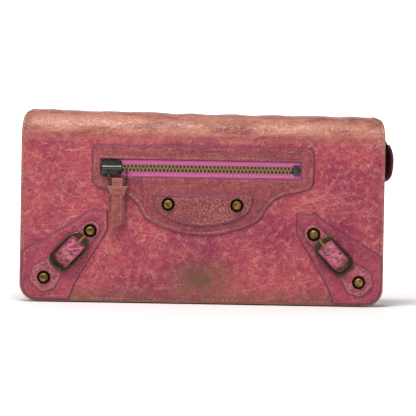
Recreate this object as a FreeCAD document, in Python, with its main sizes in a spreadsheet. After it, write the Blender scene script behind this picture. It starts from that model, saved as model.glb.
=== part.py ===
import FreeCAD, Part
import math
import os
import types
import Sketcher

# Long flap wallet: a back cover, a rounded spine over the top and a front flap that hangs down
# over an accordion body.  +Z is up, -Y is the flap's outer face, +X is the viewer's right.
# The origin is the middle of the underside, between the two covers.

doc = FreeCAD.newDocument("LongWallet")
sheet = doc.addObject("Spreadsheet::Sheet", "Sizes")

DRIVING_SIZES = {
    # covers
    "wallet_width": 195.0,
    "hinge_height": 88.0,
    "zip_room": 2.3,
    "cover_leather": 1.5,
    "lining_leather": 0.6,
    "spine_inset": 1.5,
    "hinge_gap": 0.9,
    "bottom_corner": 9.5,
    "flap_lift": 0.5,
    "lining_inset": 2.5,
    # accordion body
    "body_inset": 3.0,
    "body_corner": 8.0,
    "panel_drop": 4.0,
    "coin_drop": 2.0,
    "base_leather": 1.2,
    "panel_leather": 0.9,
    "coin_wall": 0.8,
    "bill_gap": 4.6,
    "coin_gap": 7.0,
    "card_leather": 0.55,
    "card_inset": 4.0,
    "card_bottom": 6.0,
    "card_first_drop": 12.0,
    "card_step": 12.0,
    "flap_clearance": 0.6,
    "gusset_depth": 5.0,
    "gusset_leather": 0.8,
    "gusset_drop": 2.0,
    # zip patch on the flap
    "patch_leather": 0.8,
    "patch_half_width": 59.5,
    "patch_drop": 3.0,
    "patch_top_corner": 2.5,
    "patch_side": 21.5,
    "patch_side_corner": 3.5,
    "patch_bevel_in": 6.0,
    "patch_bevel_drop": 3.7,
    "patch_neck_half_width": 35.5,
    "patch_neck_drop": 30.0,
    "patch_neck_round": 9.0,
    "patch_bowl_half_width": 30.5,
    "patch_bowl_drop": 40.0,
    "patch_bowl_corner": 4.0,
    "patch_foot_drop": 51.0,
    "patch_foot_round": 45.0,
    "window_left": 54.6,
    "window_right": 52.3,
    "window_clearance": 0.3,
    # half moon label
    "label_leather": 0.9,
    "label_half_width": 27.0,
    "label_drop": 26.0,
    "label_side": 10.0,
    "label_side_in": 3.4,
    "label_corner": 6.0,
    "label_foot_drop": 20.0,
    "label_foot_round": 40.0,
    # corner patches
    "corner_inset": 1.0,
    "corner_side_top": 27.5,
    "corner_shoulder_in": 31.0,
    "corner_shoulder_height": 45.0,
    "corner_tip_in": 36.3,
    "corner_tip_height": 49.7,
    "corner_end_in": 47.0,
    "corner_end_foot": 38.5,
    "corner_waist_in": 32.5,
    "corner_waist_height": 15.0,
    "corner_foot_in": 26.7,
    "corner_round": 1.2,
    # buckled straps
    "strap_leather": 0.9,
    "strap_turn": 46.0,
    "strap_in": 25.4,
    "strap_height": 26.0,
    "strap_point_margin": 6.85,
    "strap_shoulder_margin": 0.15,
    "strap_shoulder_half_width": 8.2,
    "strap_waist": 6.5,
    "strap_clearance": 0.35,
    "strap_tail_margin": 5.55,
    "strap_round": 2.0,
    "buckle_shift": 1.6,
    "buckle_half_length": 11.5,
    "buckle_half_width": 6.75,
    "buckle_side": 1.5,
    "buckle_end": 2.4,
    "buckle_thickness": 1.6,
    "bar_shift": 0.8,
    "bar_radius": 0.6,
    "bar_clearance": 0.1,
    "prong_width": 1.2,
    "prong_wall": 0.5,
    "prong_overhang": 0.6,
    "prong_lift": 0.1,
    "round_margin": 0.3,
    "hump_clearance": 0.4,
    "hump_run": 4.6,
    "slot_clearance": 0.4,
    # studs
    "stud_gap": 0.35,
    "stud_radius": 2.9,
    "stud_height": 2.3,
    "stud_bevel": 0.6,
    "stud_bevel_turn": 50.0,
    "stud_ring_radius": 3.6,
    "stud_ring_height": 0.7,
    "stud_post_radius": 1.0,
    "stud_post_clearance": 0.1,
    "stud_back_radius": 3.2,
    "stud_back_height": 0.6,
    "label_stud_reach": 18.4,
    "label_stud_drop": 5.5,
    # zips, as on the flap; the coin zip is the same shape, made smaller to fit its compartment
    "zip_drop": 12.4,
    "zip_tape": 0.5,
    "tape_seam": 2.7,
    "tape_edge": 0.7,
    "tape_end": 4.0,
    "tooth_pitch": 2.0,
    "tooth_reach": 2.25,
    "tooth_overlap": 0.45,
    "tooth_width": 0.9,
    "tooth_tip_width": 0.76,
    "tooth_thickness": 1.8,
    "chain_margin": 0.4,
    "stop_length": 3.6,
    "stop_half_height": 2.9,
    "slider_margin": 0.25,
    "slider_lead": 2.85,
    "slider_length": 11.0,
    "slider_flare": 0.9,
    "slider_corner": 1.6,
    "slider_gap": 0.3,
    "slider_plate": 0.9,
    "slider_back_plate": 0.6,
    "slider_flange": 0.7,
    "slider_flange_inset": 0.5,
    "slider_flange_gap": 0.15,
    "slider_post": 1.6,
    "slider_post_half_height": 0.55,
    "slider_post_shift": 3.4,
    "bridge_half_height": 1.4,
    "bridge_height": 1.95,
    "bridge_bore_lift": 1.1,
    "bridge_end_gap": 0.9,
    "ring_shift": 3.2,
    "ring_half_width": 4.85,
    "ring_length": 9.4,
    "ring_wire": 0.5,
    "ring_round": 2.2,
    "ring_clearance": 0.1,
    "keeper_half_width": 6.25,
    "keeper_foot_half_width": 3.75,
    "keeper_top": 1.5,
    "keeper_length": 7.4,
    "keeper_wall": 0.6,
    "pull_half_width": 3.5,
    "pull_length": 17.0,
    "pull_slant": 3.4,
    "pull_leather": 1.4,
    "pocket_half_width": 60.0,
    "pocket_drop": 1.0,
    "pocket_depth": 54.0,
    "pocket_cloth": 0.4,
    # coin compartment zip
    "coin_zip_clearance": 0.35,
    "coin_chain_left_in": 10.5,
    "coin_chain_right_in": 4.0,
    "coin_pull_half_width": 2.4,
    "coin_pull_length": 9.5,
    "coin_pull_thickness": 1.0,
    "coin_pull_window": 4.2,
    # tail of the coin zip
    "tail_half_width": 4.0,
    "tail_tape": 0.9,
    "tail_root_in": 10.5,
    "tail_crest_in": 1.1,
    "tail_crest_rise": 4.9,
    "tail_rise_run": 4.0,
    "tail_rise": 1.4,
    "tail_flat": 2.0,
    "tail_split": 0.6,
    "tape_out": 1.4,
    "tape_rise": 1.2,
    "tab_leather": 2.2,
    "tab_top_out": 2.4,
    "tab_top_rise": 0.2,
    "tab_shoulder_out": 3.9,
    "tab_shoulder_drop": 3.4,
    "tab_belly_out": 4.5,
    "tab_belly_drop": 8.5,
    "tab_foot_out": 2.9,
    "tab_foot_drop": 18.4,
    # press snap
    "snap_height": 14.0,
    "snap_ball_radius": 2.0,
    "snap_ball_length": 2.4,
    "snap_flange_radius": 5.0,
    "snap_flange": 0.4,
    "snap_clearance": 0.5,
    "snap_socket_radius": 5.5,
    "snap_socket_length": 1.9,
}


class Size:
    """A length or an angle: its number, and the spreadsheet formula that gives it."""

    def __init__(self, value, text):
        self.value = value
        self.text = text

    def _join(self, other, sign, value):
        return Size(value, f"({self.text} {sign} {other.text})")

    def __add__(self, other):
        other = as_size(other)
        return self._join(other, "+", self.value + other.value)

    def __sub__(self, other):
        other = as_size(other)
        return self._join(other, "-", self.value - other.value)

    def __mul__(self, other):
        other = as_size(other)
        return self._join(other, "*", self.value * other.value)

    def __truediv__(self, other):
        other = as_size(other)
        return self._join(other, "/", self.value / other.value)

    def __neg__(self):
        return Size(-self.value, f"(0 - {self.text})")


def as_size(number):
    return number if isinstance(number, Size) else Size(float(number), f"{float(number)}")


def fill_sheet():
    """Write every driving size into the sheet and return them by name."""
    named = {}
    for row, (name, value) in enumerate(DRIVING_SIZES.items(), start=1):
        sheet.set(f"A{row}", name)
        sheet.set(f"B{row}", str(value))
        sheet.setAlias(f"B{row}", name)
        named[name] = Size(value, f"Sizes.{name}")
    doc.recompute()
    return types.SimpleNamespace(**named)


s = fill_sheet()
ZERO = as_size(0)
LEFT, RIGHT = -1, 1

# ---------------------------------------------------------------- sketching and padding


def new_body(name):
    body = doc.addObject("PartDesign::Body", name)
    body.Label = name
    body.AllowCompound = True
    return body


def new_sketch(body, plane, lift=ZERO):
    """A sketch on one of the body's own origin planes, lifted along that plane's normal."""
    sketch = body.newObject("Sketcher::SketchObject", f"{body.Name}_sketch")
    support = next(f for f in body.Origin.OriginFeatures if f.Role == plane)
    sketch.AttachmentSupport = [(support, "")]
    sketch.MapMode = "FlatFace"
    sketch.setExpression(".AttachmentOffset.Base.z", lift.text)
    return sketch


def bind(sketch, kind, *where, to):
    """Add one dimension to a sketch and tie it to a size."""
    index = sketch.addConstraint(Sketcher.Constraint(kind, *where, to.value))
    sketch.setExpression(f"Constraints[{index}]", to.text)


def pin_point(sketch, edge, end, across, up):
    """Fix one end of an edge at (across, up) from the sketch's origin."""
    for kind, size in (("DistanceX", across), ("DistanceY", up)):
        if size.value < 0:
            bind(sketch, kind, edge, end, -1, 1, to=-size)
        else:
            bind(sketch, kind, -1, 1, edge, end, to=size)


def vector(across, up):
    return FreeCAD.Vector(across.value, up.value, 0)


def add_polygon(sketch, corners):
    """A closed outline through corners, each an (across, up) pair of sizes."""
    first = sketch.GeometryCount
    count = len(corners)
    for i, corner in enumerate(corners):
        following = corners[(i + 1) % count]
        sketch.addGeometry(Part.LineSegment(vector(*corner), vector(*following)), False)
    for i, corner in enumerate(corners):
        sketch.addConstraint(Sketcher.Constraint("Coincident", first + i, 2, first + (i + 1) % count, 1))
        pin_point(sketch, first + i, 1, *corner)


def add_circle(sketch, across, up, radius):
    circle = Part.Circle(vector(across, up), FreeCAD.Vector(0, 0, 1), radius.value)
    edge = sketch.addGeometry(circle, False)
    pin_point(sketch, edge, 3, across, up)
    bind(sketch, "Radius", edge, to=radius)


def pad(body, sketch, length, both_ways=False):
    feature = body.newObject("PartDesign::Pad", f"{body.Name}_pad")
    feature.Profile = sketch
    feature.Length = length.value
    feature.setExpression("Length", length.text)
    feature.SideType = "Symmetric" if both_ways else "One side"
    doc.recompute()
    return feature


def cut_through(body, sketch, depth, both_ways=False):
    """Pocket along the sketch's normal; checked to have taken material away."""
    before = body.Shape.Volume
    feature = body.newObject("PartDesign::Pocket", f"{body.Name}_pocket")
    feature.Profile = sketch
    feature.Length = depth.value
    feature.setExpression("Length", depth.text)
    feature.SideType = "Symmetric" if both_ways else "One side"
    feature.Reversed = not both_ways
    doc.recompute()
    if body.Shape.Volume > before - 1e-6:
        raise ValueError(f"{body.Name}: a pocket cut nothing")
    return feature


def round_corners(body, corners, plane):
    """Fillet the edges that stand on the given corners, each (across, up, radius)."""
    keep = {"XZ_Plane": (0, 2), "XY_Plane": (0, 1), "YZ_Plane": (1, 2)}[plane]
    groups = {}
    for across, up, radius in corners:
        groups.setdefault(radius.text, (radius, []))[1].append((across.value, up.value))
    for radius, places in groups.values():
        base = body.Tip
        names = []
        for number, edge in enumerate(base.Shape.Edges, start=1):
            ends = [tuple(v.Point)for v in edge.Vertexes]
            flat = {(round(e[keep[0]], 4), round(e[keep[1]], 4)) for e in ends}
            if len(ends) == 2 and len(flat) == 1:
                spot = next(iter(flat))
                if any(math.dist(spot, place) < 0.001 for place in places):
                    names.append(f"Edge{number}")
        fillet = body.newObject("PartDesign::Fillet", f"{body.Name}_round")
        fillet.Base = (base, names)
        fillet.Radius = radius.value
        fillet.setExpression("Radius", radius.text)
        body.Tip = fillet
        doc.recompute()


def sheet_piece(name, outline, back, thickness):
    """A flat piece parallel to the covers.  Its back face is at y = back and it grows to -Y.

    outline holds (x, z) or (x, z, corner radius)."""
    body = new_body(name)
    sketch = new_sketch(body, "XZ_Plane", -back)
    add_polygon(sketch, [corner[:2] for corner in outline])
    pad(body, sketch, thickness)
    rounded = [corner for corner in outline if len(corner) == 3]
    if rounded:
        round_corners(body, rounded, "XZ_Plane")
    return body


def strip_along_width(name, profile, width):
    """A piece of one (y, z) profile, as long as width and centred on the middle of the wallet."""
    body = new_body(name)
    sketch = new_sketch(body, "YZ_Plane")
    add_polygon(sketch, profile)
    pad(body, sketch, width, both_ways=True)
    return body


def rectangle(left, right, low, high, *corner):
    return [(left, low, *corner), (right, low, *corner), (right, high, *corner), (left, high, *corner)]


def round_footed(side, low, high, corner):
    """A rectangle centred on the wallet whose two lower corners are rounded."""
    return [(-side, low, corner), (side, low, corner), (side, high), (-side, high)]


def mirrored(half):
    """A closed outline from its right half, listed from the top to the bottom."""
    left = [(-corner[0], *corner[1:]) for corner in reversed(half) if corner[0].value > 0]
    return half + left


def turn_and_move(body, axis, turn, x=ZERO, y=ZERO, z=ZERO):
    """Set the body's Placement: a turn about axis, then a move."""
    spot = FreeCAD.Vector(x.value, y.value, z.value)
    body.Placement = FreeCAD.Placement(spot, FreeCAD.Rotation(FreeCAD.Vector(*axis), turn.value))
    body.setExpression(".Placement.Rotation.Angle", turn.text)
    for name, size in (("x", x), ("y", y), ("z", z)):
        body.setExpression(f".Placement.Base.{name}", size.text)
    doc.recompute()


# ---------------------------------------------------------------- layers, from the flap to the back

CARD_TIERS = 4
card_stack = s.card_leather * CARD_TIERS
body_depth = s.bill_gap * 2 + s.coin_wall * 2 + s.coin_gap + s.panel_leather + card_stack
skins = s.cover_leather * 2 + s.lining_leather * 2
half_depth = (skins + body_depth + s.flap_clearance + s.zip_room) / 2
half_width = s.wallet_width / 2
flap_face = -half_depth
flap_inside = flap_face + s.cover_leather
back_face = half_depth
back_inside = back_face - s.cover_leather
back_lining_face = back_inside - s.lining_leather

coin_wall_rear_back = back_lining_face - s.bill_gap
coin_rear_inside = coin_wall_rear_back - s.coin_wall
coin_front_inside = coin_rear_inside - s.coin_gap
coin_front_face = coin_front_inside - s.coin_wall
coin_middle = (coin_rear_inside + coin_front_inside) / 2
panel_back = coin_front_face - s.bill_gap
panel_face = panel_back - s.panel_leather
card_face = panel_face - card_stack
flap_lining_back = card_face - s.flap_clearance
flap_lining_face = flap_lining_back - s.lining_leather

# ---------------------------------------------------------------- heights and reaches

cover_top = s.hinge_height - s.hinge_gap
panel_top = s.hinge_height - s.panel_drop
coin_top = s.hinge_height - s.coin_drop
patch_top = s.hinge_height - s.patch_drop
zip_height = patch_top - s.zip_drop
label_top = patch_top - s.label_drop
body_half_width = half_width - s.body_inset
strap_reach = half_width - s.strap_in
tail_root = body_half_width - s.tail_root_in

# ---------------------------------------------------------------- covers


def cover(name, back, foot):
    outline = round_footed(half_width, foot, cover_top, s.bottom_corner)
    return sheet_piece(name, outline, back, s.cover_leather)


def half_ring(name, outer, thickness, width):
    """The rounded spine: a half ring about the line between the two fold hinges."""
    body = new_body(name)
    sketch = new_sketch(body, "YZ_Plane")
    inner = outer - thickness
    foot = s.hinge_height + s.hinge_gap
    centre = vector(ZERO, s.hinge_height)
    for radius in (outer, inner):
        start = math.asin(s.hinge_gap.value / radius.value)
        circle = Part.Circle(centre, FreeCAD.Vector(0, 0, 1), radius.value)
        edge = sketch.addGeometry(Part.ArcOfCircle(circle, start, math.pi - start), False)
        bind(sketch, "Radius", edge, to=radius)
        pin_point(sketch, edge, 3, ZERO, s.hinge_height)
        for end in (1, 2):
            bind(sketch, "DistanceY", -1, 1, edge, end, to=foot)
    geometry = sketch.Geometry
    for end, place in ((1, "StartPoint"), (2, "EndPoint")):
        line = Part.LineSegment(getattr(geometry[0], place), getattr(geometry[1], place))
        edge = sketch.addGeometry(line, False)
        sketch.addConstraint(Sketcher.Constraint("Coincident", edge, 1, 0, end))
        sketch.addConstraint(Sketcher.Constraint("Coincident", edge, 2, 1, end))
    pad(body, sketch, width, both_ways=True)
    return body


def lining(name, back, foot):
    side = half_width - s.lining_inset
    return sheet_piece(name, round_footed(side, foot, cover_top, s.body_corner), back, s.lining_leather)


cover_back_leather = cover("cover_back_leather", back_face, ZERO)
cover_flap_leather = cover("cover_flap_leather", flap_inside, s.flap_lift)
spine_width = s.wallet_width - s.spine_inset * 2
half_ring("cover_spine_leather", half_depth, s.cover_leather, spine_width)
spine_lining_width = spine_width - s.lining_inset * 2
half_ring("spine_lining", half_depth - s.cover_leather, s.lining_leather, spine_lining_width)
lining("back_lining", back_inside, s.base_leather)
flap_lining = lining("flap_lining", flap_lining_back, s.flap_lift + s.lining_inset)

# ---------------------------------------------------------------- accordion body


def body_panel(name, back, thickness, top):
    outline = round_footed(body_half_width, s.base_leather, top, s.body_corner)
    return sheet_piece(name, outline, back, thickness)


def gusset(name, side, rear, front, top):
    """A side wall folded inwards, so that the compartment can open like an accordion."""
    body = new_body(name)
    foot = s.base_leather + s.body_corner
    sketch = new_sketch(body, "XY_Plane", foot)
    edge = body_half_width * side
    fold = (body_half_width - s.gusset_depth) * side
    band = s.gusset_leather * side
    middle = (rear + front) / 2
    outline = [(edge, front), (edge, rear), (edge - band, rear), (fold - band, middle)]
    outline += [(edge - band, front)]
    inner = (fold, middle)
    add_polygon(sketch, [outline[0], inner] + outline[1:])
    pad(body, sketch, top - foot - s.gusset_drop)


def body_base():
    side = body_half_width - s.body_corner
    outline = rectangle(-side, side, ZERO, s.base_leather)
    sheet_piece("body_base", outline, back_inside, back_inside - panel_face)


def card_tiers():
    """Card pockets: each tier is a step lower and lies in front of the one before it."""
    side = body_half_width - s.card_inset
    for tier in range(CARD_TIERS):
        top = panel_top - s.card_first_drop - s.card_step * tier
        outline = rectangle(-side, side, s.card_bottom, top)
        sheet_piece(f"card_tier_{tier + 1}", outline, panel_face - s.card_leather * tier, s.card_leather)


body_base()
body_panel("body_front_panel", panel_back, s.panel_leather, panel_top)
card_tiers()
body_panel("coin_wall_front", coin_front_inside, s.coin_wall, coin_top)
body_panel("coin_wall_rear", coin_wall_rear_back, s.coin_wall, coin_top)
for side, word in ((LEFT, "left"), (RIGHT, "right")):
    gusset(f"bill_gusset_front_{word}", side, coin_front_face, panel_back, panel_top)
    gusset(f"coin_gusset_{word}", side, coin_rear_inside, coin_front_inside, coin_top)
    gusset(f"bill_gusset_rear_{word}", side, back_lining_face, coin_wall_rear_back, panel_top)

# ---------------------------------------------------------------- patches sewn on the flap


patch_face = flap_face - s.patch_leather
trim_face = patch_face - s.strap_leather

slider_tail_half = s.tooth_reach + s.slider_flange_gap + s.slider_flange + s.slider_flange_inset
slider_lead_half = slider_tail_half + s.slider_flare
slider_start = s.window_left - s.slider_margin - s.slider_length / 2
window_half = slider_lead_half - s.slider_flange_inset + s.window_clearance
tape_half = window_half + s.tape_seam
chain_end_left = slider_start - s.slider_lead
stop_gap = s.tooth_pitch / 2 + s.tooth_width
chain_end_right = s.window_right - s.stop_length - stop_gap - s.chain_margin


def zip_patch():
    bevel_reach = s.patch_half_width - s.patch_bevel_in
    side_foot = patch_top - s.patch_side
    half = [
        (s.patch_half_width, patch_top, s.patch_top_corner),
        (s.patch_half_width, side_foot, s.patch_side_corner),
        (bevel_reach, side_foot - s.patch_bevel_drop, s.patch_side_corner),
        (s.patch_neck_half_width, patch_top - s.patch_neck_drop, s.patch_neck_round),
        (s.patch_bowl_half_width, patch_top - s.patch_bowl_drop, s.patch_bowl_corner),
        (ZERO, patch_top - s.patch_foot_drop, s.patch_foot_round),
    ]
    return sheet_piece("zip_patch", mirrored(half), flap_face, s.patch_leather)


def cut_window(body, left, right, half_height, back, depth):
    """A slot for the flap's zip, from y = back towards -Y."""
    sketch = new_sketch(body, "XZ_Plane", -back)
    low = zip_height - half_height
    add_polygon(sketch, rectangle(-left, right, low, zip_height + half_height))
    cut_through(body, sketch, depth)


def label_patch():
    half = [
        (s.label_half_width, label_top),
        (s.label_half_width - s.label_side_in, label_top - s.label_side, s.label_corner),
        (ZERO, label_top - s.label_foot_drop, s.label_foot_round),
    ]
    return sheet_piece("label_patch", mirrored(half), patch_face, s.label_leather)


def corner_patch(name, side):
    edge = half_width - s.corner_inset
    foot = s.flap_lift + s.corner_inset
    outline = [
        (edge, foot, s.bottom_corner - s.corner_inset),
        (edge, s.corner_side_top),
        (half_width - s.corner_shoulder_in, s.corner_shoulder_height),
        (half_width - s.corner_tip_in, s.corner_tip_height, s.corner_round),
        (half_width - s.corner_end_in, s.corner_tip_height, s.corner_round),
        (half_width - s.corner_end_in, s.corner_end_foot, s.corner_round),
        (half_width - s.corner_waist_in, s.corner_waist_height),
        (half_width - s.corner_foot_in, foot),
    ]
    outline = [(corner[0] * side, *corner[1:]) for corner in outline]
    return sheet_piece(name, outline, flap_face, s.patch_leather)


patch = zip_patch()
cut_window(patch, s.window_left, s.window_right, window_half, flap_face, s.patch_leather)
tape_left = s.window_left + s.tape_end
tape_right = s.window_right + s.tape_end
cut_window(cover_flap_leather, tape_left, tape_right, tape_half, flap_inside, s.cover_leather)
label = label_patch()
corner_patches = {side: corner_patch(f"corner_patch_{word}", side)
                  for side, word in ((LEFT, "left"), (RIGHT, "right"))}

pocket_top = patch_top - s.pocket_drop
pocket_foot = pocket_top - s.pocket_depth
pocket_outline = rectangle(-s.pocket_half_width, s.pocket_half_width, pocket_foot, pocket_top)
sheet_piece("zip_pocket_cloth", pocket_outline, flap_lining_face, s.pocket_cloth)

# ---------------------------------------------------------------- buckled straps
#
# A strap is drawn lying along X with its buckled end towards +X, then turned up towards the middle
# of the flap.  The strap rises over the buckle's centre bar and dives under both ends of its frame.


def strap_turn(side):
    return s.strap_turn if side == LEFT else as_size(180) - s.strap_turn


def place_on_strap(body, side, y=ZERO):
    turn_and_move(body, (0, -1, 0), strap_turn(side), strap_reach * side, y, s.strap_height)


strap_half_width = s.buckle_half_width - s.buckle_side - s.strap_clearance
prong_tip = s.buckle_shift + s.buckle_half_length + s.prong_overhang
stud_half_spacing = prong_tip + s.stud_gap + s.stud_ring_radius
bar_place = s.buckle_shift + s.bar_shift
bar_lift = s.strap_leather + s.buckle_thickness / 2
hub_radius = s.bar_radius + s.bar_clearance + s.prong_wall
hump_inside = hub_radius + s.hump_clearance
hump_top = bar_lift + hump_inside + s.strap_leather
prong_rest = s.strap_leather + s.buckle_thickness + s.prong_lift + s.prong_width / 2


def strap(name, side):
    tail = stud_half_spacing + s.strap_tail_margin
    shoulder = stud_half_spacing + s.strap_shoulder_margin
    tail_round = strap_half_width - s.round_margin
    outline = [
        (-(stud_half_spacing + s.strap_point_margin), ZERO, s.strap_round),
        (-shoulder, -s.strap_shoulder_half_width, s.strap_round),
        (-s.strap_waist, -strap_half_width),
        (tail, -strap_half_width, tail_round),
        (tail, strap_half_width, tail_round),
        (-s.strap_waist, strap_half_width),
        (-shoulder, s.strap_shoulder_half_width, s.strap_round),
    ]
    body = sheet_piece(name, outline, ZERO, s.strap_leather)
    gap = new_sketch(body, "XZ_Plane")
    low, high = bar_place - s.hump_run, bar_place + s.hump_run
    add_polygon(gap, rectangle(low, high, -s.strap_shoulder_half_width, s.strap_shoulder_half_width))
    cut_through(body, gap, s.strap_leather)
    hump = new_sketch(body, "XY_Plane")
    side_lift = -(bar_lift + s.bar_radius)
    outside = hump_inside + s.strap_leather
    profile = [
        (low, ZERO),
        (bar_place - hump_inside, side_lift),
        (bar_place - hump_inside / 2, s.strap_leather - hump_top),
        (bar_place + hump_inside / 2, s.strap_leather - hump_top),
        (bar_place + hump_inside, side_lift),
        (high, ZERO),
        (high, -s.strap_leather),
        (bar_place + outside, side_lift),
        (bar_place + hump_inside / 2, -hump_top),
        (bar_place - hump_inside / 2, -hump_top),
        (bar_place - outside, side_lift),
        (low, -s.strap_leather),
    ]
    add_polygon(hump, profile)
    pad(body, hump, strap_half_width * 2, both_ways=True)
    slot = new_sketch(body, "XZ_Plane")
    half_slot = s.prong_width / 2 + s.slot_clearance
    add_polygon(slot, rectangle(bar_place - s.slot_clearance, high, -half_slot, half_slot))
    cut_through(body, slot, hump_top)
    place_on_strap(body, side, patch_face)
    return body


def buckle(name, side):
    """An oval frame with a round centre bar, cast in one."""
    body = new_body(name)
    sketch = new_sketch(body, "XZ_Plane", s.strap_leather)
    low = s.buckle_shift - s.buckle_half_length
    high = s.buckle_shift + s.buckle_half_length
    wide = s.buckle_half_width
    outer = rectangle(low, high, -wide, wide)
    add_polygon(sketch, outer)
    pad(body, sketch, s.buckle_thickness)
    opening = new_sketch(body, "XZ_Plane", s.strap_leather)
    inner_wide = wide - s.buckle_side
    inner = rectangle(low + s.buckle_end, high - s.buckle_end, -inner_wide, inner_wide)
    add_polygon(opening, inner)
    cut_through(body, opening, s.buckle_thickness)
    round_corners(body, [(*corner, wide - s.round_margin) for corner in outer], "XZ_Plane")
    round_corners(body, [(*corner, inner_wide - s.round_margin) for corner in inner], "XZ_Plane")
    bar = new_sketch(body, "XY_Plane")
    add_circle(bar, bar_place, -bar_lift, s.bar_radius)
    pad(body, bar, inner_wide * 2 + s.buckle_side, both_ways=True)
    place_on_strap(body, side, patch_face)


def prong(name, side):
    """A short brass tongue: an eye round the centre bar and an arm that rests on the frame."""
    body = new_body(name)
    arm = new_sketch(body, "XY_Plane")
    half = s.prong_width / 2
    start_low = bar_lift - half
    knee = prong_tip - s.buckle_end - s.prong_overhang
    profile = [
        (bar_place, -start_low),
        (knee, -(prong_rest - half)),
        (prong_tip, -(prong_rest - half)),
        (prong_tip, -(prong_rest + half)),
        (knee, -(prong_rest + half)),
        (bar_place, -(start_low + s.prong_width)),
    ]
    add_polygon(arm, profile)
    pad(body, arm, s.prong_width, both_ways=True)
    eye = new_sketch(body, "XY_Plane")
    add_circle(eye, bar_place, -bar_lift, hub_radius)
    pad(body, eye, s.prong_width, both_ways=True)
    bore = new_sketch(body, "XY_Plane")
    add_circle(bore, bar_place, -bar_lift, s.bar_radius + s.bar_clearance)
    cut_through(body, bore, s.prong_width * 2, both_ways=True)
    place_on_strap(body, side, patch_face)


straps = {}
for side, word in ((LEFT, "left"), (RIGHT, "right")):
    straps[side] = strap(f"buckle_strap_{word}", side)
    buckle(f"buckle_{word}", side)
    prong(f"buckle_prong_{word}", side)

# ---------------------------------------------------------------- studs
#
# Each stud is a flat brass head with a post through every layer, a black ring under the head and a
# flat back inside the flap.

TURN = math.radians(s.strap_turn.value)
turn_text = f"cos({s.strap_turn.text} * 1 deg)", f"sin({s.strap_turn.text} * 1 deg)"
ALONG = Size(math.cos(TURN), turn_text[0]), Size(math.sin(TURN), turn_text[1])


def stud_places():
    """(x, z) of the six studs: two on the label and two on each strap."""
    places = []
    for side in (LEFT, RIGHT):
        places.append((s.label_stud_reach * side, label_top - s.label_stud_drop))
        for end in (LEFT, RIGHT):
            reach = (strap_reach - stud_half_spacing * end * ALONG[0]) * side
            places.append((reach, s.strap_height + stud_half_spacing * end * ALONG[1]))
    return places


def discs(body, radius, back, thickness):
    """Six discs, one at each stud, grown from y = back towards -Y."""
    sketch = new_sketch(body, "XZ_Plane", -back)
    for place in stud_places():
        add_circle(sketch, *place, radius)
    return pad(body, sketch, thickness)


def stud_holes(body, places, back, thickness):
    sketch = new_sketch(body, "XZ_Plane", -back)
    for place in places:
        add_circle(sketch, *place, s.stud_post_radius + s.stud_post_clearance)
    cut_through(body, sketch, thickness)


def studs():
    ring_top = trim_face - s.stud_ring_height
    heads = new_body("stud_heads")
    discs(heads, s.stud_post_radius, flap_inside, flap_inside - ring_top)
    discs(heads, s.stud_radius, ring_top, s.stud_height - s.stud_bevel)
    bevel = discs(heads, s.stud_radius, ring_top - s.stud_height + s.stud_bevel, s.stud_bevel)
    bevel.TaperAngle = -s.stud_bevel_turn.value
    bevel.setExpression("TaperAngle", f"(0 - {s.stud_bevel_turn.text}) * 1 deg")
    doc.recompute()
    rings = new_body("stud_rings")
    discs(rings, s.stud_ring_radius, trim_face, s.stud_ring_height)
    stud_holes(rings, stud_places(), trim_face, s.stud_ring_height)
    backs = new_body("stud_backs")
    discs(backs, s.stud_back_radius, flap_inside + s.stud_back_height, s.stud_back_height)


studs()
label_studs = [stud_places()[0], stud_places()[3]]
strap_studs = {LEFT: stud_places()[1:3], RIGHT: stud_places()[4:6]}
stud_holes(cover_flap_leather, stud_places(), flap_inside, s.cover_leather)
stud_holes(patch, label_studs, flap_face, s.patch_leather)
stud_holes(label, label_studs, patch_face, s.label_leather)
for side in (LEFT, RIGHT):
    stud_holes(corner_patches[side], strap_studs[side], flap_face, s.patch_leather)
    ends = [(stud_half_spacing * end, ZERO) for end in (LEFT, RIGHT)]
    stud_holes(straps[side], ends, ZERO, s.strap_leather)

# ---------------------------------------------------------------- zips
#
# A zip is drawn with its chain along X, its outer side towards -Y and its middle at the origin.


def zip_tape(name, side, left, right, half_width, ratio):
    tape = s.zip_tape * ratio
    edge = s.tape_edge * ratio * side
    outline = rectangle(-left, right, edge, half_width * side)
    return sheet_piece(name, outline, tape / 2, tape)


def zip_teeth(name, side, left, right, ratio):
    """One row of teeth.  The two rows stand half a pitch apart, so that they mesh."""
    body = new_body(name)
    thick = s.tooth_thickness * ratio
    pitch = s.tooth_pitch * ratio
    sketch = new_sketch(body, "XZ_Plane", -thick / 2)
    middle = -left + pitch / 2 if side == RIGHT else -left
    root, tip = s.tooth_width * ratio / 2, s.tooth_tip_width * ratio / 2
    reach, past = s.tooth_reach * ratio * side, -s.tooth_overlap * ratio * side
    corners = [(middle - root, reach), (middle + root, reach), (middle + tip, past), (middle - tip, past)]
    add_polygon(sketch, corners)
    tooth = pad(body, sketch, thick)
    row = body.newObject("PartDesign::LinearPattern", f"{name}_row")
    row.Originals = [tooth]
    row.Direction = (next(f for f in body.Origin.OriginFeatures if f.Role == "X_Axis"), [""])
    run = left + right
    steps = math.floor(run.value / pitch.value)
    row.Length = steps * pitch.value
    row.Occurrences = steps + 1
    row.setExpression("Length", f"floor({run.text} / {pitch.text}) * {pitch.text}")
    row.setExpression("Occurrences", f"floor({run.text} / {pitch.text}) + 1")
    body.Tip = row
    doc.recompute()
    return body


def zip_stop(name, start, ratio):
    """The metal box that closes the chain's far end."""
    high = s.stop_half_height * ratio
    outline = rectangle(start, start + s.stop_length * ratio, -high, high)
    thick = s.tooth_thickness * ratio + s.slider_gap * ratio
    return sheet_piece(name, outline, thick / 2, thick)


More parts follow.
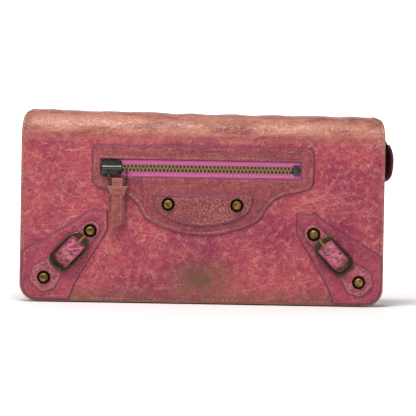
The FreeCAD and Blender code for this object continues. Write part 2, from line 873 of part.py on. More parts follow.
def slider_shell(name, start, ratio):
    """Front and back plates joined by the wedge post, with flanges that hold the teeth in."""
    body = new_body(name)
    half_length = s.slider_length * ratio / 2
    left, right = -start - half_length, -start + half_length
    lead, trail = slider_lead_half * ratio, slider_tail_half * ratio
    inside = (s.tooth_thickness / 2 + s.slider_gap) * ratio
    outline = [(left, -lead), (-start, -lead), (right, -trail), (right, trail), (-start, lead), (left, lead)]

    def layer(shape, back, thickness):
        sketch = new_sketch(body, "XZ_Plane", -back)
        add_polygon(sketch, shape)
        pad(body, sketch, thickness)

    layer(outline, -inside, s.slider_plate * ratio)
    post = -start - s.slider_post_shift * ratio
    post_half = s.slider_post * ratio / 2
    post_high = s.slider_post_half_height * ratio
    layer(rectangle(post - post_half, post + post_half, -post_high, post_high), inside, inside * 2)
    layer(outline, inside + s.slider_back_plate * ratio, s.slider_back_plate * ratio)
    inset = s.slider_flange_inset * ratio
    lip = inset + s.slider_flange * ratio
    tape_room = (s.zip_tape + s.slider_gap) * ratio / 2
    for side in (LEFT, RIGHT):
        flange = [
            (left, (lead - inset) * side),
            (-start, (lead - inset) * side),
            (right, (trail - inset) * side),
            (right, (trail - lip) * side),
            (-start, (lead - lip) * side),
            (left, (lead - lip) * side),
        ]
        layer(flange, -tape_room, inside - tape_room)
        layer(flange, inside, inside - tape_room)
    corners = [outline[i] for i in (0, 2, 3, 5)]
    round_corners(body, [(*corner, s.slider_corner * ratio) for corner in corners], "XZ_Plane")
    return body, -(inside + s.slider_plate * ratio)


def bridge_with_bore(body, face, along, across, along_x, ratio):
    """A raised bridge on the slider's front, bored lengthwise for the pull.

    along and across are (low, high) ranges; the bore runs along X, or along Z if not along_x."""
    sketch = new_sketch(body, "XZ_Plane", -face)
    columns = (along, across) if along_x else (across, along)
    add_polygon(sketch, rectangle(*columns[0], *columns[1]))
    pad(body, sketch, s.bridge_height * ratio)
    bore = new_sketch(body, "YZ_Plane" if along_x else "XY_Plane")
    depth = face - s.bridge_bore_lift * ratio
    middle = (across[0] + across[1]) / 2
    spot = (depth, middle) if along_x else (middle, depth)
    add_circle(bore, *spot, (s.ring_wire + s.ring_clearance) * ratio)
    reach = s.wallet_width
    cut_through(body, bore, reach, both_ways=True)
    return depth


front_zip_y = flap_face + s.zip_tape / 2


def flap_zip():
    one = as_size(1)
    pieces = []
    for side, word in ((RIGHT, "upper"), (LEFT, "lower")):
        pieces.append(zip_tape(f"flap_zip_tape_{word}", side, tape_left, tape_right, tape_half, one))
        pieces.append(zip_teeth(f"flap_zip_teeth_{word}", side, chain_end_left, chain_end_right, one))
    pieces.append(zip_stop("flap_zip_stop", chain_end_right + stop_gap, one))
    slider, face = slider_shell("flap_zip_slider", slider_start, one)
    bridge_left = ring_x - s.ring_half_width + s.ring_round
    bridge_right = s.slider_length / 2 - slider_start
    high = s.bridge_half_height
    depth = bridge_with_bore(slider, face, (bridge_left, bridge_right), (-high, high), True, one)
    lug = new_sketch(slider, "XZ_Plane", -face)
    lug_right = ring_x - s.ring_half_width - s.ring_wire * 2
    lug_left = s.bridge_end_gap - slider_start - s.slider_length / 2
    add_polygon(lug, rectangle(lug_left, lug_right, -high, high))
    pad(slider, lug, s.bridge_height)
    pieces.append(slider)
    for body in pieces:
        turn_and_move(body, (1, 0, 0), ZERO, y=front_zip_y, z=zip_height)
    return depth


ring_x = s.ring_shift - slider_start
ring_y = front_zip_y + flap_zip()


def wire_loop(name, half_width, length, wire, corner):
    """A rounded wire loop that hangs from the origin along -Z; its top bar lies on the X axis."""
    body = new_body(name)
    path = new_sketch(body, "XZ_Plane")
    w, l, r = half_width, length, corner
    runs = [
        ((ZERO, ZERO), (w - r, ZERO)),
        ((w, -r), (w, r - l)),
        ((w - r, -l), (r - w, -l)),
        ((-w, r - l), (-w, -r)),
        ((r - w, ZERO), (ZERO, ZERO)),
    ]
    for number, (start, end) in enumerate(runs):
        path.addGeometry(Part.LineSegment(vector(*start), vector(*end)), False)
        pin_point(path, number, 1, *start)
        pin_point(path, number, 2, *end)
    turns = [(w - r, -r, 0.0), (w - r, r - l, -90.0), (r - w, r - l, -180.0), (r - w, -r, 90.0)]
    for number, (x, z, first) in enumerate(turns):
        circle = Part.Circle(vector(x, z), FreeCAD.Vector(0, 0, 1), r.value)
        arc = Part.ArcOfCircle(circle, math.radians(first), math.radians(first + 90))
        edge = path.addGeometry(arc, False)
        path.addConstraint(Sketcher.Constraint("Coincident", edge, 2, number, 2))
        path.addConstraint(Sketcher.Constraint("Coincident", edge, 1, number + 1, 1))
        bind(path, "Radius", edge, to=r)
    section = new_sketch(body, "YZ_Plane")
    add_circle(section, ZERO, ZERO, wire)
    doc.recompute()
    pipe = body.newObject("PartDesign::AdditivePipe", f"{name}_pipe")
    pipe.Profile = section
    pipe.Spine = (path, [f"Edge{i + 1}" for i in range(len(path.Shape.Edges))])
    body.Tip = pipe
    doc.recompute()
    return body


ring = wire_loop("flap_zip_ring", s.ring_half_width, s.ring_length, s.ring_wire, s.ring_round)
turn_and_move(ring, (1, 0, 0), ZERO, ring_x, ring_y, zip_height)
pull_z = zip_height - s.ring_length


def pull_keeper():
    """Leather folded round the ring's lower bar, notched where the ring's sides come out."""
    half_thick = s.ring_wire + s.ring_clearance + s.keeper_wall
    foot = s.keeper_top - s.keeper_length
    outline = [
        (-s.keeper_half_width, s.keeper_top, s.keeper_wall),
        (s.keeper_half_width, s.keeper_top, s.keeper_wall),
        (s.keeper_half_width, -s.keeper_top),
        (s.keeper_foot_half_width, foot),
        (-s.keeper_foot_half_width, foot),
        (-s.keeper_half_width, -s.keeper_top),
    ]
    body = sheet_piece("pull_keeper", outline, half_thick, half_thick * 2)
    bore = new_sketch(body, "YZ_Plane")
    add_circle(bore, ZERO, ZERO, s.ring_wire + s.ring_clearance)
    cut_through(body, bore, s.ring_half_width * 2, both_ways=True)
    for side in (LEFT, RIGHT):
        notch = new_sketch(body, "XZ_Plane", -half_thick)
        outer = (s.ring_half_width + s.ring_wire * 2) * side
        inner = (s.ring_half_width - s.ring_wire - s.ring_round) * side
        low = -(s.ring_wire + s.ring_clearance)
        add_polygon(notch, rectangle(inner, outer, low, s.keeper_top + s.keeper_wall))
        cut_through(body, notch, half_thick * 2)
    turn_and_move(body, (1, 0, 0), ZERO, ring_x, ring_y, pull_z)


def pull_strap():
    top = s.keeper_top - s.keeper_length
    outline = [
        (-s.pull_half_width, top),
        (s.pull_half_width, top),
        (s.pull_half_width, top - s.pull_length + s.pull_slant),
        (-s.pull_half_width, top - s.pull_length),
    ]
    body = sheet_piece("pull_strap", outline, s.pull_leather / 2, s.pull_leather)
    turn_and_move(body, (1, 0, 0), ZERO, ring_x, ring_y, pull_z)


pull_keeper()
pull_strap()

# ---------------------------------------------------------------- coin compartment zip
#
# Laid flat over the coin compartment: its outer side faces up and its chain runs along X.

coin_zip_ratio = (s.coin_gap / 2 - s.coin_zip_clearance) / slider_lead_half
coin_zip_z = coin_top + s.zip_tape * coin_zip_ratio / 2
QUARTER = as_size(90)


def place_coin_zip(body):
    turn_and_move(body, (-1, 0, 0), QUARTER, y=coin_middle, z=coin_zip_z)


def coin_zip():
    ratio = coin_zip_ratio
    half = s.coin_gap / 2 + s.coin_wall
    chain_left = body_half_width - s.coin_chain_left_in
    chain_right = tail_root - s.coin_chain_right_in
    for side, word in ((RIGHT, "rear"), (LEFT, "front")):
        place_coin_zip(zip_tape(f"coin_zip_tape_{word}", side, body_half_width, tail_root, half, ratio))
        teeth = zip_teeth(f"coin_zip_teeth_{word}", side, chain_left, chain_right, ratio)
        place_coin_zip(teeth)
    place_coin_zip(zip_stop("coin_zip_stop", chain_right + stop_gap * ratio, ratio))
    start = chain_left + s.slider_lead * ratio
    slider, face = slider_shell("coin_zip_slider", start, ratio)
    reach = s.coin_pull_half_width - s.ring_wire * 2 * ratio - s.ring_clearance
    high = s.bridge_half_height * ratio
    middle = -start
    depth = bridge_with_bore(slider, face, (-reach, reach), (middle - high, middle + high), False, ratio)
    place_coin_zip(slider)
    return middle, depth


coin_pull_x, coin_bore_depth = coin_zip()
coin_pull_z = coin_zip_z - coin_bore_depth


def coin_pull():
    """A flat tag with a window; the round bar across the window's end turns in the bridge."""
    body = new_body("coin_zip_pull")
    ratio = coin_zip_ratio
    wide = s.coin_pull_half_width
    wire = s.ring_wire * ratio
    side_bar = wire * 2
    thick = s.coin_pull_thickness
    half = thick / 2
    sketch = new_sketch(body, "XY_Plane", -half)
    add_polygon(sketch, rectangle(-wire, s.coin_pull_length, -wide, wide))
    pad(body, sketch, thick)
    window = new_sketch(body, "XY_Plane", -half)
    add_polygon(window, rectangle(-wire * 2, s.coin_pull_window, side_bar - wide, wide - side_bar))
    cut_through(body, window, thick)
    bar = new_sketch(body, "XZ_Plane")
    add_circle(bar, ZERO, ZERO, wire)
    pad(body, bar, wide * 2 - side_bar / 2, both_ways=True)
    end = [(s.coin_pull_length, wide * side, wide / 2) for side in (LEFT, RIGHT)]
    round_corners(body, end, "XY_Plane")
    turn_and_move(body, (1, 0, 0), ZERO, coin_pull_x, coin_middle, coin_pull_z)


coin_pull()

# ---------------------------------------------------------------- tail of the coin zip
#
# The spare tape runs on past the chain, rises over the body's side and ends in a leather tab.


def band(name, path, thickness, half_width):
    """A bent strip: path is its middle line in (x, z), and it is as wide along Y as 2 half_width."""
    body = new_body(name)
    sketch = new_sketch(body, "XZ_Plane", -coin_middle)
    above, below = [], []
    for i, (x, z) in enumerate(path):
        before = path[max(i - 1, 0)]
        after = path[min(i + 1, len(path) - 1)]
        run, rise = after[0] - before[0], after[1] - before[1]
        length_text = f"sqrt({run.text} * {run.text} + {rise.text} * {rise.text})"
        length = Size(math.hypot(run.value, rise.value), length_text)
        half = thickness / 2
        above.append((x - half * rise / length, z + half * run / length))
        below.append((x + half * rise / length, z - half * run / length))
    add_polygon(sketch, above + below[::-1])
    pad(body, sketch, half_width * 2, both_ways=True)
    return body


tape_top = coin_top + s.tail_tape / 2
crest_reach = half_width - s.tail_crest_in
crest_height = coin_top + s.tail_crest_rise
band("tail_tape_inner", [
    (tail_root, tape_top),
    (tail_root + s.tail_flat, tape_top),
    (crest_reach - s.tail_rise_run, crest_height - s.tail_rise),
    (crest_reach - s.tail_split, crest_height),
], s.tail_tape, s.coin_gap / 2)
band("tail_tape_outer", [
    (crest_reach + s.tail_split, crest_height),
    (half_width + s.tape_out, coin_top + s.tape_rise),
], s.tail_tape, s.tail_half_width)
band("tail_tab", [
    (half_width + s.tab_top_out, coin_top + s.tab_top_rise),
    (half_width + s.tab_shoulder_out, coin_top - s.tab_shoulder_drop),
    (half_width + s.tab_belly_out, coin_top - s.tab_belly_drop),
    (half_width + s.tab_foot_out, coin_top - s.tab_foot_drop),
], s.tab_leather, s.tail_half_width)

# ---------------------------------------------------------------- press snap


def disc(body, radius, back, thickness):
    sketch = new_sketch(body, "XZ_Plane", -back)
    add_circle(sketch, ZERO, s.snap_height, radius)
    pad(body, sketch, thickness)


def snap():
    stud = new_body("snap_stud")
    disc(stud, s.snap_flange_radius, card_face, s.snap_flange)
    disc(stud, s.snap_ball_radius, card_face - s.snap_flange, s.snap_ball_length)
    socket = new_body("snap_socket")
    socket_back = flap_lining_back - s.snap_flange / 2
    disc(socket, s.snap_socket_radius, socket_back, s.snap_socket_length)
    bore = new_sketch(socket, "XZ_Plane", -socket_back)
    add_circle(bore, ZERO, s.snap_height, s.snap_ball_radius + s.snap_clearance)
    cut_through(socket, bore, s.snap_socket_length)
    hole = new_sketch(flap_lining, "XZ_Plane", -flap_lining_back)
    add_circle(hole, ZERO, s.snap_height, s.snap_socket_radius)
    cut_through(flap_lining, hole, s.lining_leather)


snap()

# ---------------------------------------------------------------- check and write


def broken(thing):
    return any(word in state for state in thing.State for word in ("Invalid", "Error"))


def write_parts():
    doc.recompute()
    failed = [thing.Name for thing in doc.Objects if broken(thing)]
    if failed:
        raise ValueError(f"failed objects: {failed}")
    os.makedirs("parts", exist_ok=True)
    for body in [thing for thing in doc.Objects if thing.TypeId == "PartDesign::Body"]:
        if body.Shape.isNull() or not body.Shape.isValid():
            raise ValueError(f"{body.Label}: not a valid shape")
        body.Shape.exportStep(f"parts/{body.Label}.step")
        print(body.Label, len(body.Shape.Solids), round(body.Shape.Volume, 1))


write_parts()
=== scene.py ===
import math

import bmesh
import bpy
import numpy as np
from mathutils import Matrix, Vector


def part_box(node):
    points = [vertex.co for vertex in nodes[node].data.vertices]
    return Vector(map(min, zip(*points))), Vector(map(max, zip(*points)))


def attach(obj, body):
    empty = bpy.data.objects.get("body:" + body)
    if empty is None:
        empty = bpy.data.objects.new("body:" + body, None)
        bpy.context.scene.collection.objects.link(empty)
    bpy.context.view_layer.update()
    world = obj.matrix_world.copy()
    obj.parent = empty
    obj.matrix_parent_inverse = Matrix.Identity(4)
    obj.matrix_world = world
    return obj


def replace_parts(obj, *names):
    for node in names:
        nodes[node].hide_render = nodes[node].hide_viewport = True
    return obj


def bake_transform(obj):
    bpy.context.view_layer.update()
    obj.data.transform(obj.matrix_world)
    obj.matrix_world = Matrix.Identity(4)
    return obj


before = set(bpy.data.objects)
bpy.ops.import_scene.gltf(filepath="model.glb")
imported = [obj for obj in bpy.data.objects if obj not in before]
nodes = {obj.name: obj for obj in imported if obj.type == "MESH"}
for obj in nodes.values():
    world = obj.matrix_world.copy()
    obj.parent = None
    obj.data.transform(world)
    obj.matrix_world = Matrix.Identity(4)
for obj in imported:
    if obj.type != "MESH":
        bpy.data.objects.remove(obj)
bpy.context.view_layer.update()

# ---------------------------------------------------------------------------
# The cover: one band of glazed lambskin, 1.5 mm thick, that stands up the back, goes over the
# fold in a half round and hangs down the front as the flap. Its edge is turned and stitched all
# round. Here it is two skins that meet on top of the fold.
MM = 0.001
CRINKLE_SEED = 61
EDGE_STEPS = np.array([0, 0.1, 0.28, 0.55, 0.9, 1.3, 1.7, 2.1, 2.6, 3.3]) * MM
EDGE_FULLNESS = 0.97
SEAM_INSET = 1.9 * MM
back_low, back_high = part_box("cover_back_leather")
flap_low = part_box("cover_flap_leather")[0]
spine_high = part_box("cover_spine_leather")[1]
half_width = back_high.x
half_depth = back_high.y
fold_height = spine_high.z - half_depth
skin_thickness = back_high.y - back_low.y
foot_radius = 9.5 * MM
over_the_fold = math.pi * half_depth
top_line = fold_height + over_the_fold / 2
flap_end = 2 * fold_height + over_the_fold - flap_low.z
tape_low, tape_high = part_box("flap_zip_tape_lower")[0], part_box("flap_zip_tape_upper")[1]
tape_cut = (tape_low.x, tape_high.x, tape_low.z, tape_high.z)


def dyed(red, green, blue):
    """A colour as the node sockets want it, from the three values of 0 to 255 that a dye chart gives."""
    values = np.array([red, green, blue]) / 255
    linear = np.where(values <= 0.04045, values / 12.92, ((values + 0.055) / 1.055) ** 2.4)
    return (*linear.tolist(), 1.0)


class Finish:
    """One surface finish, as a network of material nodes. Each method adds a node and gives back its
    output, and takes either a number or another node's output for each of its values."""

    def __init__(self, name):
        self.material = bpy.data.materials.new(name)
        self.material.use_nodes = True
        self.tree = self.material.node_tree
        self.surface = self.tree.nodes["Principled BSDF"]
        self.place = self.node("ShaderNodeTexCoord").outputs["Object"]

    def node(self, kind, inputs=(), **settings):
        made = self.tree.nodes.new(kind)
        for setting, value in settings.items():
            setattr(made, setting, value)
        for socket, value in dict(inputs).items():
            self.feed(made.inputs[socket], value)
        return made

    def feed(self, socket, value):
        if isinstance(value, bpy.types.NodeSocket):
            self.tree.links.new(value, socket)
        else:
            socket.default_value = value

    def turned(self, degrees, stretch):
        """The object's coordinates turned about the depth axis and stretched along their own axes."""
        made = self.node("ShaderNodeMapping", {"Vector": self.place, "Scale": stretch})
        made.inputs["Rotation"].default_value = (0, math.radians(degrees), 0)
        return made.outputs["Vector"]

    def warped(self, place, size, amount):
        """Coordinates pushed about by clouds of this size, by up to half the amount each way."""
        push = self.node(
            "ShaderNodeTexNoise", {"Vector": place, "Scale": 1 / size, "Detail": 2.0}
        ).outputs["Color"]
        centred = self.node("ShaderNodeVectorMath", {0: push, 1: (0.5, 0.5, 0.5)}, operation="SUBTRACT")
        scaled = self.node("ShaderNodeVectorMath", {0: centred.outputs[0], 3: amount}, operation="SCALE")
        return self.node("ShaderNodeVectorMath", {0: place, 1: scaled.outputs[0]}, operation="ADD").outputs[0]

    def clouds(self, size, detail=4.0, roughness=0.6, place=None):
        """Soft noise, one cloud about `size` metres across."""
        inputs = {"Vector": self.place if place is None else place, "Scale": 1 / size}
        inputs.update({"Detail": detail, "Roughness": roughness})
        return self.node("ShaderNodeTexNoise", inputs).outputs["Fac"]

    def cracks(self, size, place):
        """Distance to the nearest line of a net of cells `size` metres across, as a share of a cell."""
        inputs = {"Vector": place, "Scale": 1 / size}
        return self.node("ShaderNodeTexVoronoi", inputs, feature="DISTANCE_TO_EDGE").outputs["Distance"]

    def pebbles(self, size, place=None):
        """Distance to the middle of the nearest cell, for rounded grains `size` metres across."""
        inputs = {"Vector": self.place if place is None else place, "Scale": 1 / size}
        return self.node("ShaderNodeTexVoronoi", inputs, feature="F1").outputs["Distance"]

    def between(self, value, low, high, start=0.0, end=1.0):
        """The value eased from start at `low` to end at `high`, and held beyond them."""
        inputs = {"Value": value, "From Min": low, "From Max": high, "To Min": start, "To Max": end}
        return self.node("ShaderNodeMapRange", inputs, interpolation_type="SMOOTHSTEP").outputs["Result"]

    def sums(self, operation, first, second):
        return self.node("ShaderNodeMath", {0: first, 1: second}, operation=operation).outputs[0]

    def times(self, first, second):
        return self.sums("MULTIPLY", first, second)

    def colours(self, share, first, second, way="MIX"):
        made = self.node("ShaderNodeMix", data_type="RGBA", blend_type=way)
        for socket, value in ((0, share), (6, first), (7, second)):
            self.feed(made.inputs[socket], value)
        return made.outputs[2]

    def worked(self, name):
        """An amount from 0 to 1 that the mesh carries at its own points, such as how rubbed it is."""
        return self.node("ShaderNodeAttribute", attribute_name=name).outputs["Fac"]

    def raised(self, height, depth, under=None):
        """Relief `depth` metres deep, from a height of 0 to 1, over another relief."""
        inputs = {"Height": height, "Distance": depth, "Strength": 1.0}
        if under is not None:
            inputs["Normal"] = under
        return self.node("ShaderNodeBump", inputs).outputs["Normal"]

    def done(self, colour, roughness, normal=None, **constants):
        self.feed(self.surface.inputs["Base Color"], colour)
        self.feed(self.surface.inputs["Roughness"], roughness)
        if normal is not None:
            self.feed(self.surface.inputs["Normal"], normal)
        for socket, value in constants.items():
            self.surface.inputs[socket.replace("_", " ")].default_value = value
        return self.material


def glazed_lambskin(name, dye, deep, faded, veins=0.5, grain=0.1 * MM, gloss=0.34):
    """Glazed, much handled lambskin: two dyes in large clouds, a paler one in flecks and along thin
    veins and a fine net of creases, tan where it is rubbed through, coppery where it is glazed over
    the fold, and darker in its pores and where the mesh marks grime and painted shade. Veins and creases are
    sunk."""
    skin = Finish(name)
    clouds = skin.between(skin.clouds(30 * MM, 6.0, 0.62), 0.34, 0.66)
    colour = skin.colours(clouds, deep, dye)
    flecks = skin.between(skin.clouds(3.0 * MM, 6.0, 0.8), 0.45, 0.68)
    colour = skin.colours(skin.times(flecks, 0.75), colour, faded)
    dark_flecks = skin.between(
        skin.clouds(2.4 * MM, 6.0, 0.75, skin.turned(20, (1.0, 1.0, 1.3))), 0.32, 0.52, 1.0, 0.0
    )
    colour = skin.colours(skin.times(dark_flecks, 0.65), colour, deep)
    pores = skin.between(skin.clouds(1.0 * MM, 3.0, 0.7), 0.36, 0.6, 1.0, 0.0)
    sunken = (*[0.5 * value for value in deep[:3]], 1)
    colour = skin.colours(skin.times(pores, 0.42), colour, sunken)
    broken = skin.between(skin.clouds(16 * MM, 4.0, 0.6), 0.36, 0.62)
    nets = []
    for size, degrees, stretch, line, amount in (
        (19 * MM, 35, (1.0, 1.0, 2.6), 0.022, 1.0),
        (16 * MM, -32, (1.0, 1.0, 2.8), 0.024, 0.9),
        (5.5 * MM, 12, (1.0, 1.0, 1.3), 0.07, 0.3),
    ):
        turned = skin.warped(skin.turned(degrees, stretch), size * 0.6, size * 0.3)
        lines = skin.between(skin.cracks(size, turned), 0.0, line, 1.0, 0.0)
        nets.append(skin.times(skin.times(lines, broken), amount))
    creases = skin.sums("MAXIMUM", skin.sums("MAXIMUM", nets[0], nets[1]), nets[2])
    pale = (*[min(1, 1.25 * value + 0.03) for value in faded[:3]], 1)
    colour = skin.colours(skin.times(creases, veins), colour, pale)
    glazed = skin.worked("glazed")
    streaks = skin.between(skin.clouds(16 * MM, 5.0, 0.65, skin.turned(0, (0.45, 1.0, 1.9))), 0.32, 0.62)
    copper = skin.colours(streaks, dyed(124, 54, 46), dyed(186, 124, 100))
    crackle = skin.between(
        skin.cracks(4.2 * MM, skin.warped(skin.place, 5 * MM, 2.4 * MM)), 0.0, 0.07, 1.0, 0.0
    )
    copper = skin.colours(skin.times(crackle, 0.4), copper, dyed(204, 156, 124))
    colour = skin.colours(skin.times(glazed, 0.85), colour, copper)
    rubbed = skin.times(
        skin.worked("rubbed"), skin.between(skin.clouds(4 * MM, 5.0, 0.7), 0.3, 0.62)
    )
    colour = skin.colours(rubbed, colour, dyed(158, 120, 92))
    colour = skin.colours(skin.worked("ink_and_shade"), colour, dyed(112, 20, 70))
    colour = skin.colours(skin.worked("painted"), colour, dyed(112, 92, 60))
    # Darker where the mesh marks it: on the cover a stain low on the front, towards the foot and at the ends
    # of the fold, and painted shade on top of the fold.
    grime_and_shade = skin.times(
        skin.worked("grime_and_shade"), skin.between(skin.clouds(8 * MM, 6.0, 0.75), 0.15, 0.62)
    )
    colour = skin.colours(grime_and_shade, colour, dyed(104, 70, 50))
    pebbled = skin.between(skin.pebbles(1.1 * MM), 0.0, 0.9, 1.0, 0.0)
    fine = skin.raised(pebbled, grain)
    net = skin.sums("MAXIMUM", creases, skin.times(crackle, skin.times(glazed, 0.7)))
    sunk = skin.raised(net, -0.2 * MM, fine)
    rippled = skin.raised(skin.clouds(13 * MM, 3.0, 0.55), 1.1 * MM, sunk)
    worn_gloss = skin.sums("ADD", gloss, skin.times(skin.clouds(3 * MM, 4.0), 0.16))
    roughness = skin.sums("SUBTRACT", worn_gloss, skin.times(glazed, 0.1))
    return skin.done(
        colour, roughness, rippled, Specular_IOR_Level=0.38, Coat_Weight=0.06, Coat_Roughness=0.25
    )


cover_leather = glazed_lambskin(
    "cover_lambskin", dyed(180, 70, 80), dyed(138, 34, 70), dyed(206, 128, 114), 0.44
)


def close_at_edges(start, stop, step, fine=(True, True), through=()):
    """Grid lines from start to stop, `step` apart, drawn together within 3 mm of the ends that are
    fine, and moved so that one passes through each place in `through`."""
    places = np.linspace(start, stop, max(4, round((stop - start) / step)) + 1)
    margin = 3.8 * MM
    kept = (places >= start + margin * fine[0]) & (places <= stop - margin * fine[1])
    ends = [start + EDGE_STEPS if fine[0] else [start], stop - EDGE_STEPS if fine[1] else [stop]]
    places = np.unique(np.concatenate([places[kept], *ends]))
    for place in through:
        places[np.abs(places - place).argmin()] = place
    return places


def rounded_off(edge, half):
    """How far a face draws in near an edge, to round it as a quarter circle of radius `half`."""
    return half * (1 - np.sqrt(1 - EDGE_FULLNESS * (1 - np.clip(edge / half, 0, 1)) ** 2))


def bell(distance, width):
    """1 at no distance, falling off to both sides as a bell of this width."""
    return np.exp(-((distance / width) ** 2))


def closed_skin(name, outer, inner, material, kept=None, shares=None):
    """Closed sheet from two grids of points, its outer and inner face: a quad for each kept cell on
    both, and a wall of quads wherever a kept cell meets a missing one. `shares` gives each point of
    the grid an amount for the finish, by name."""
    rows, columns = outer.shape[:2]
    kept = np.ones((rows - 1, columns - 1), bool) if kept is None else kept
    index = np.arange(rows * columns).reshape(rows, columns)
    under = rows * columns
    cell = np.stack([index[:-1, :-1], index[:-1, 1:], index[1:, 1:], index[1:, :-1]], -1)[kept]
    around = np.pad(kept, 1)
    faces = [cell, cell[:, ::-1] + under]
    edges = (
        (index[:, :-1], index[:, 1:], around[1:, 1:-1], around[:-1, 1:-1]),
        (index[:-1, :], index[1:, :], around[1:-1, :-1], around[1:-1, 1:]),
    )
    for start, end, here, there in edges:
        for first, last, chosen in ((start, end, here & ~there), (end, start, there & ~here)):
            a, b = first[chosen], last[chosen]
            faces.append(np.stack([b, a, a + under, b + under], -1))
    return mesh_piece(
        name, np.concatenate([outer.reshape(-1, 3), inner.reshape(-1, 3)]), np.concatenate(faces), material,
        shares,
    )


def mesh_piece(name, points, quads, material, shares=None, sharp=50):
    """A piece from points and quads, without its unused points, shaded smooth up to a turn of `sharp`
    degrees. Quads that enclose a negative volume face inwards, and are all turned round."""
    corners = points[quads]
    halves = ((corners[:, 0], corners[:, 1], corners[:, 2]), (corners[:, 0], corners[:, 2], corners[:, 3]))
    volume = sum((a * np.cross(b, c)).sum() for a, b, c in halves)
    quads = quads[:, ::-1] if volume < 0 else quads
    used, renumbered = np.unique(quads, return_inverse=True)
    mesh = bpy.data.meshes.new(name)
    mesh.from_pydata(points[used], [], renumbered.reshape(quads.shape).tolist())
    for share, values in (shares or {}).items():
        both = np.concatenate([values.ravel(), values.ravel()])[used]
        mesh.attributes.new(share, "FLOAT", "POINT").data.foreach_set("value", both.astype(np.float32))
    mesh.shade_smooth()
    mesh.set_sharp_from_angle(angle=math.radians(sharp))
    mesh.materials.append(material)
    piece = bpy.data.objects.new(name, mesh)
    bpy.context.scene.collection.objects.link(piece)
    return piece


def crinkles(across, along, seed=CRINKLE_SEED):
    """Height of the handled skin over its flat cut: long waves with seeded directions, less a few
    hundred creases, each a straight valley with a bell-shaped section that fades out at its ends."""
    chance = np.random.default_rng(seed)
    height = np.zeros(np.broadcast(across, along).shape)
    for length, amount in ((70, 0.2), (38, 0.16), (21, 0.11), (12, 0.06)):
        for turn, phase in zip(chance.uniform(0, math.pi, 5), chance.uniform(0, 2 * math.pi, 5)):
            way = across * math.cos(turn) + along * math.sin(turn)
            height += amount * MM / 2 * np.sin(2 * math.pi * way / (length * MM) + phase)
    count = 190
    places = np.stack(
        [chance.uniform(-half_width, half_width, count), chance.uniform(0, flap_end, count)], -1
    )
    turns = np.where(
        chance.random(count) < 0.6, chance.normal(0.62, 0.3, count), chance.normal(-0.55, 0.35, count)
    )
    lengths, widths = chance.uniform(6, 26, count) * MM, chance.uniform(0.5, 1.1, count) * MM
    depths = chance.uniform(0.05, 0.2, count) * MM * np.where(chance.random(count) < 0.35, -1, 1)
    for (x, s), turn, length, width, depth in zip(places, turns, lengths, widths, depths):
        ahead = (across - x) * math.cos(turn) + (along - s) * math.sin(turn)
        aside = (along - s) * math.cos(turn) - (across - x) * math.sin(turn)
        height -= depth * np.exp(-((aside / width) ** 2) - (ahead / length) ** 4)
    return height


def width_at(along):
    """Half the cover's width: full down both sides, drawn in a little over the fold and more on top
    of it, and rounded to a quarter circle at each lower corner."""
    over = np.sin(np.clip((along - fold_height) / half_depth, 0, math.pi))
    foot = np.minimum(along, flap_end - along)
    rounding = foot_radius - np.sqrt(foot_radius**2 - np.clip(foot_radius - foot, 0, foot_radius) ** 2)
    return half_width - (1.4 * over**2 + 3.8 * over**12) * MM - rounding


def cover_place(across, along, lift):
    """A point of the cover, `lift` outside its outer face: up the back, half a circle over the fold,
    then down the front."""
    angle = np.clip((along - fold_height) / half_depth, 0, math.pi)
    beyond = np.maximum(along - fold_height - over_the_fold, 0)
    y = (half_depth + lift) * np.cos(angle)
    arc = fold_height + (half_depth + lift) * np.sin(angle)
    z = np.where(along < fold_height, along, arc - beyond)
    return np.stack(np.broadcast_arrays(across, y, z), -1)


def to_the_edge(across, along):
    """Distance from a place on the cover to its nearest edge."""
    foot = np.minimum(along, flap_end - along)
    side = width_at(np.clip(along, foot_radius, flap_end - foot_radius)) - np.abs(across)
    corner = foot_radius - np.hypot(np.abs(across) - (half_width - foot_radius), foot_radius - foot)
    rounded = (np.abs(across) > half_width - foot_radius) & (foot < foot_radius)
    return np.clip(np.where(rounded, corner, np.minimum(side, foot)), 0, None)


def hinge_lines(along):
    """How far a place lies in the two lines where the cover bends off its flat sides, from 0 to 1."""
    front, rear = along - fold_height - over_the_fold, along - fold_height
    return bell(front, 1.1 * MM) + bell(rear, 1.1 * MM)


def cover_relief(across, along):
    """The cover's outer face over its even shape: crinkles, settled near the edge, a fold that is
    fuller towards the left, the two hinge lines pressed in, and a groove for the stitches."""
    edge = to_the_edge(across, along)
    groove = bell(edge - SEAM_INSET, 0.5 * MM)
    settle = np.clip(edge / (4 * MM), 0.25, 1)
    over = np.sin(np.clip((along - fold_height) / half_depth, 0, math.pi))
    lean = 1.5 * MM * np.clip(-across / half_width, 0, 1) * over**2
    return crinkles(across, along) * settle + lean - 0.3 * MM * hinge_lines(along) - 0.16 * MM * groove


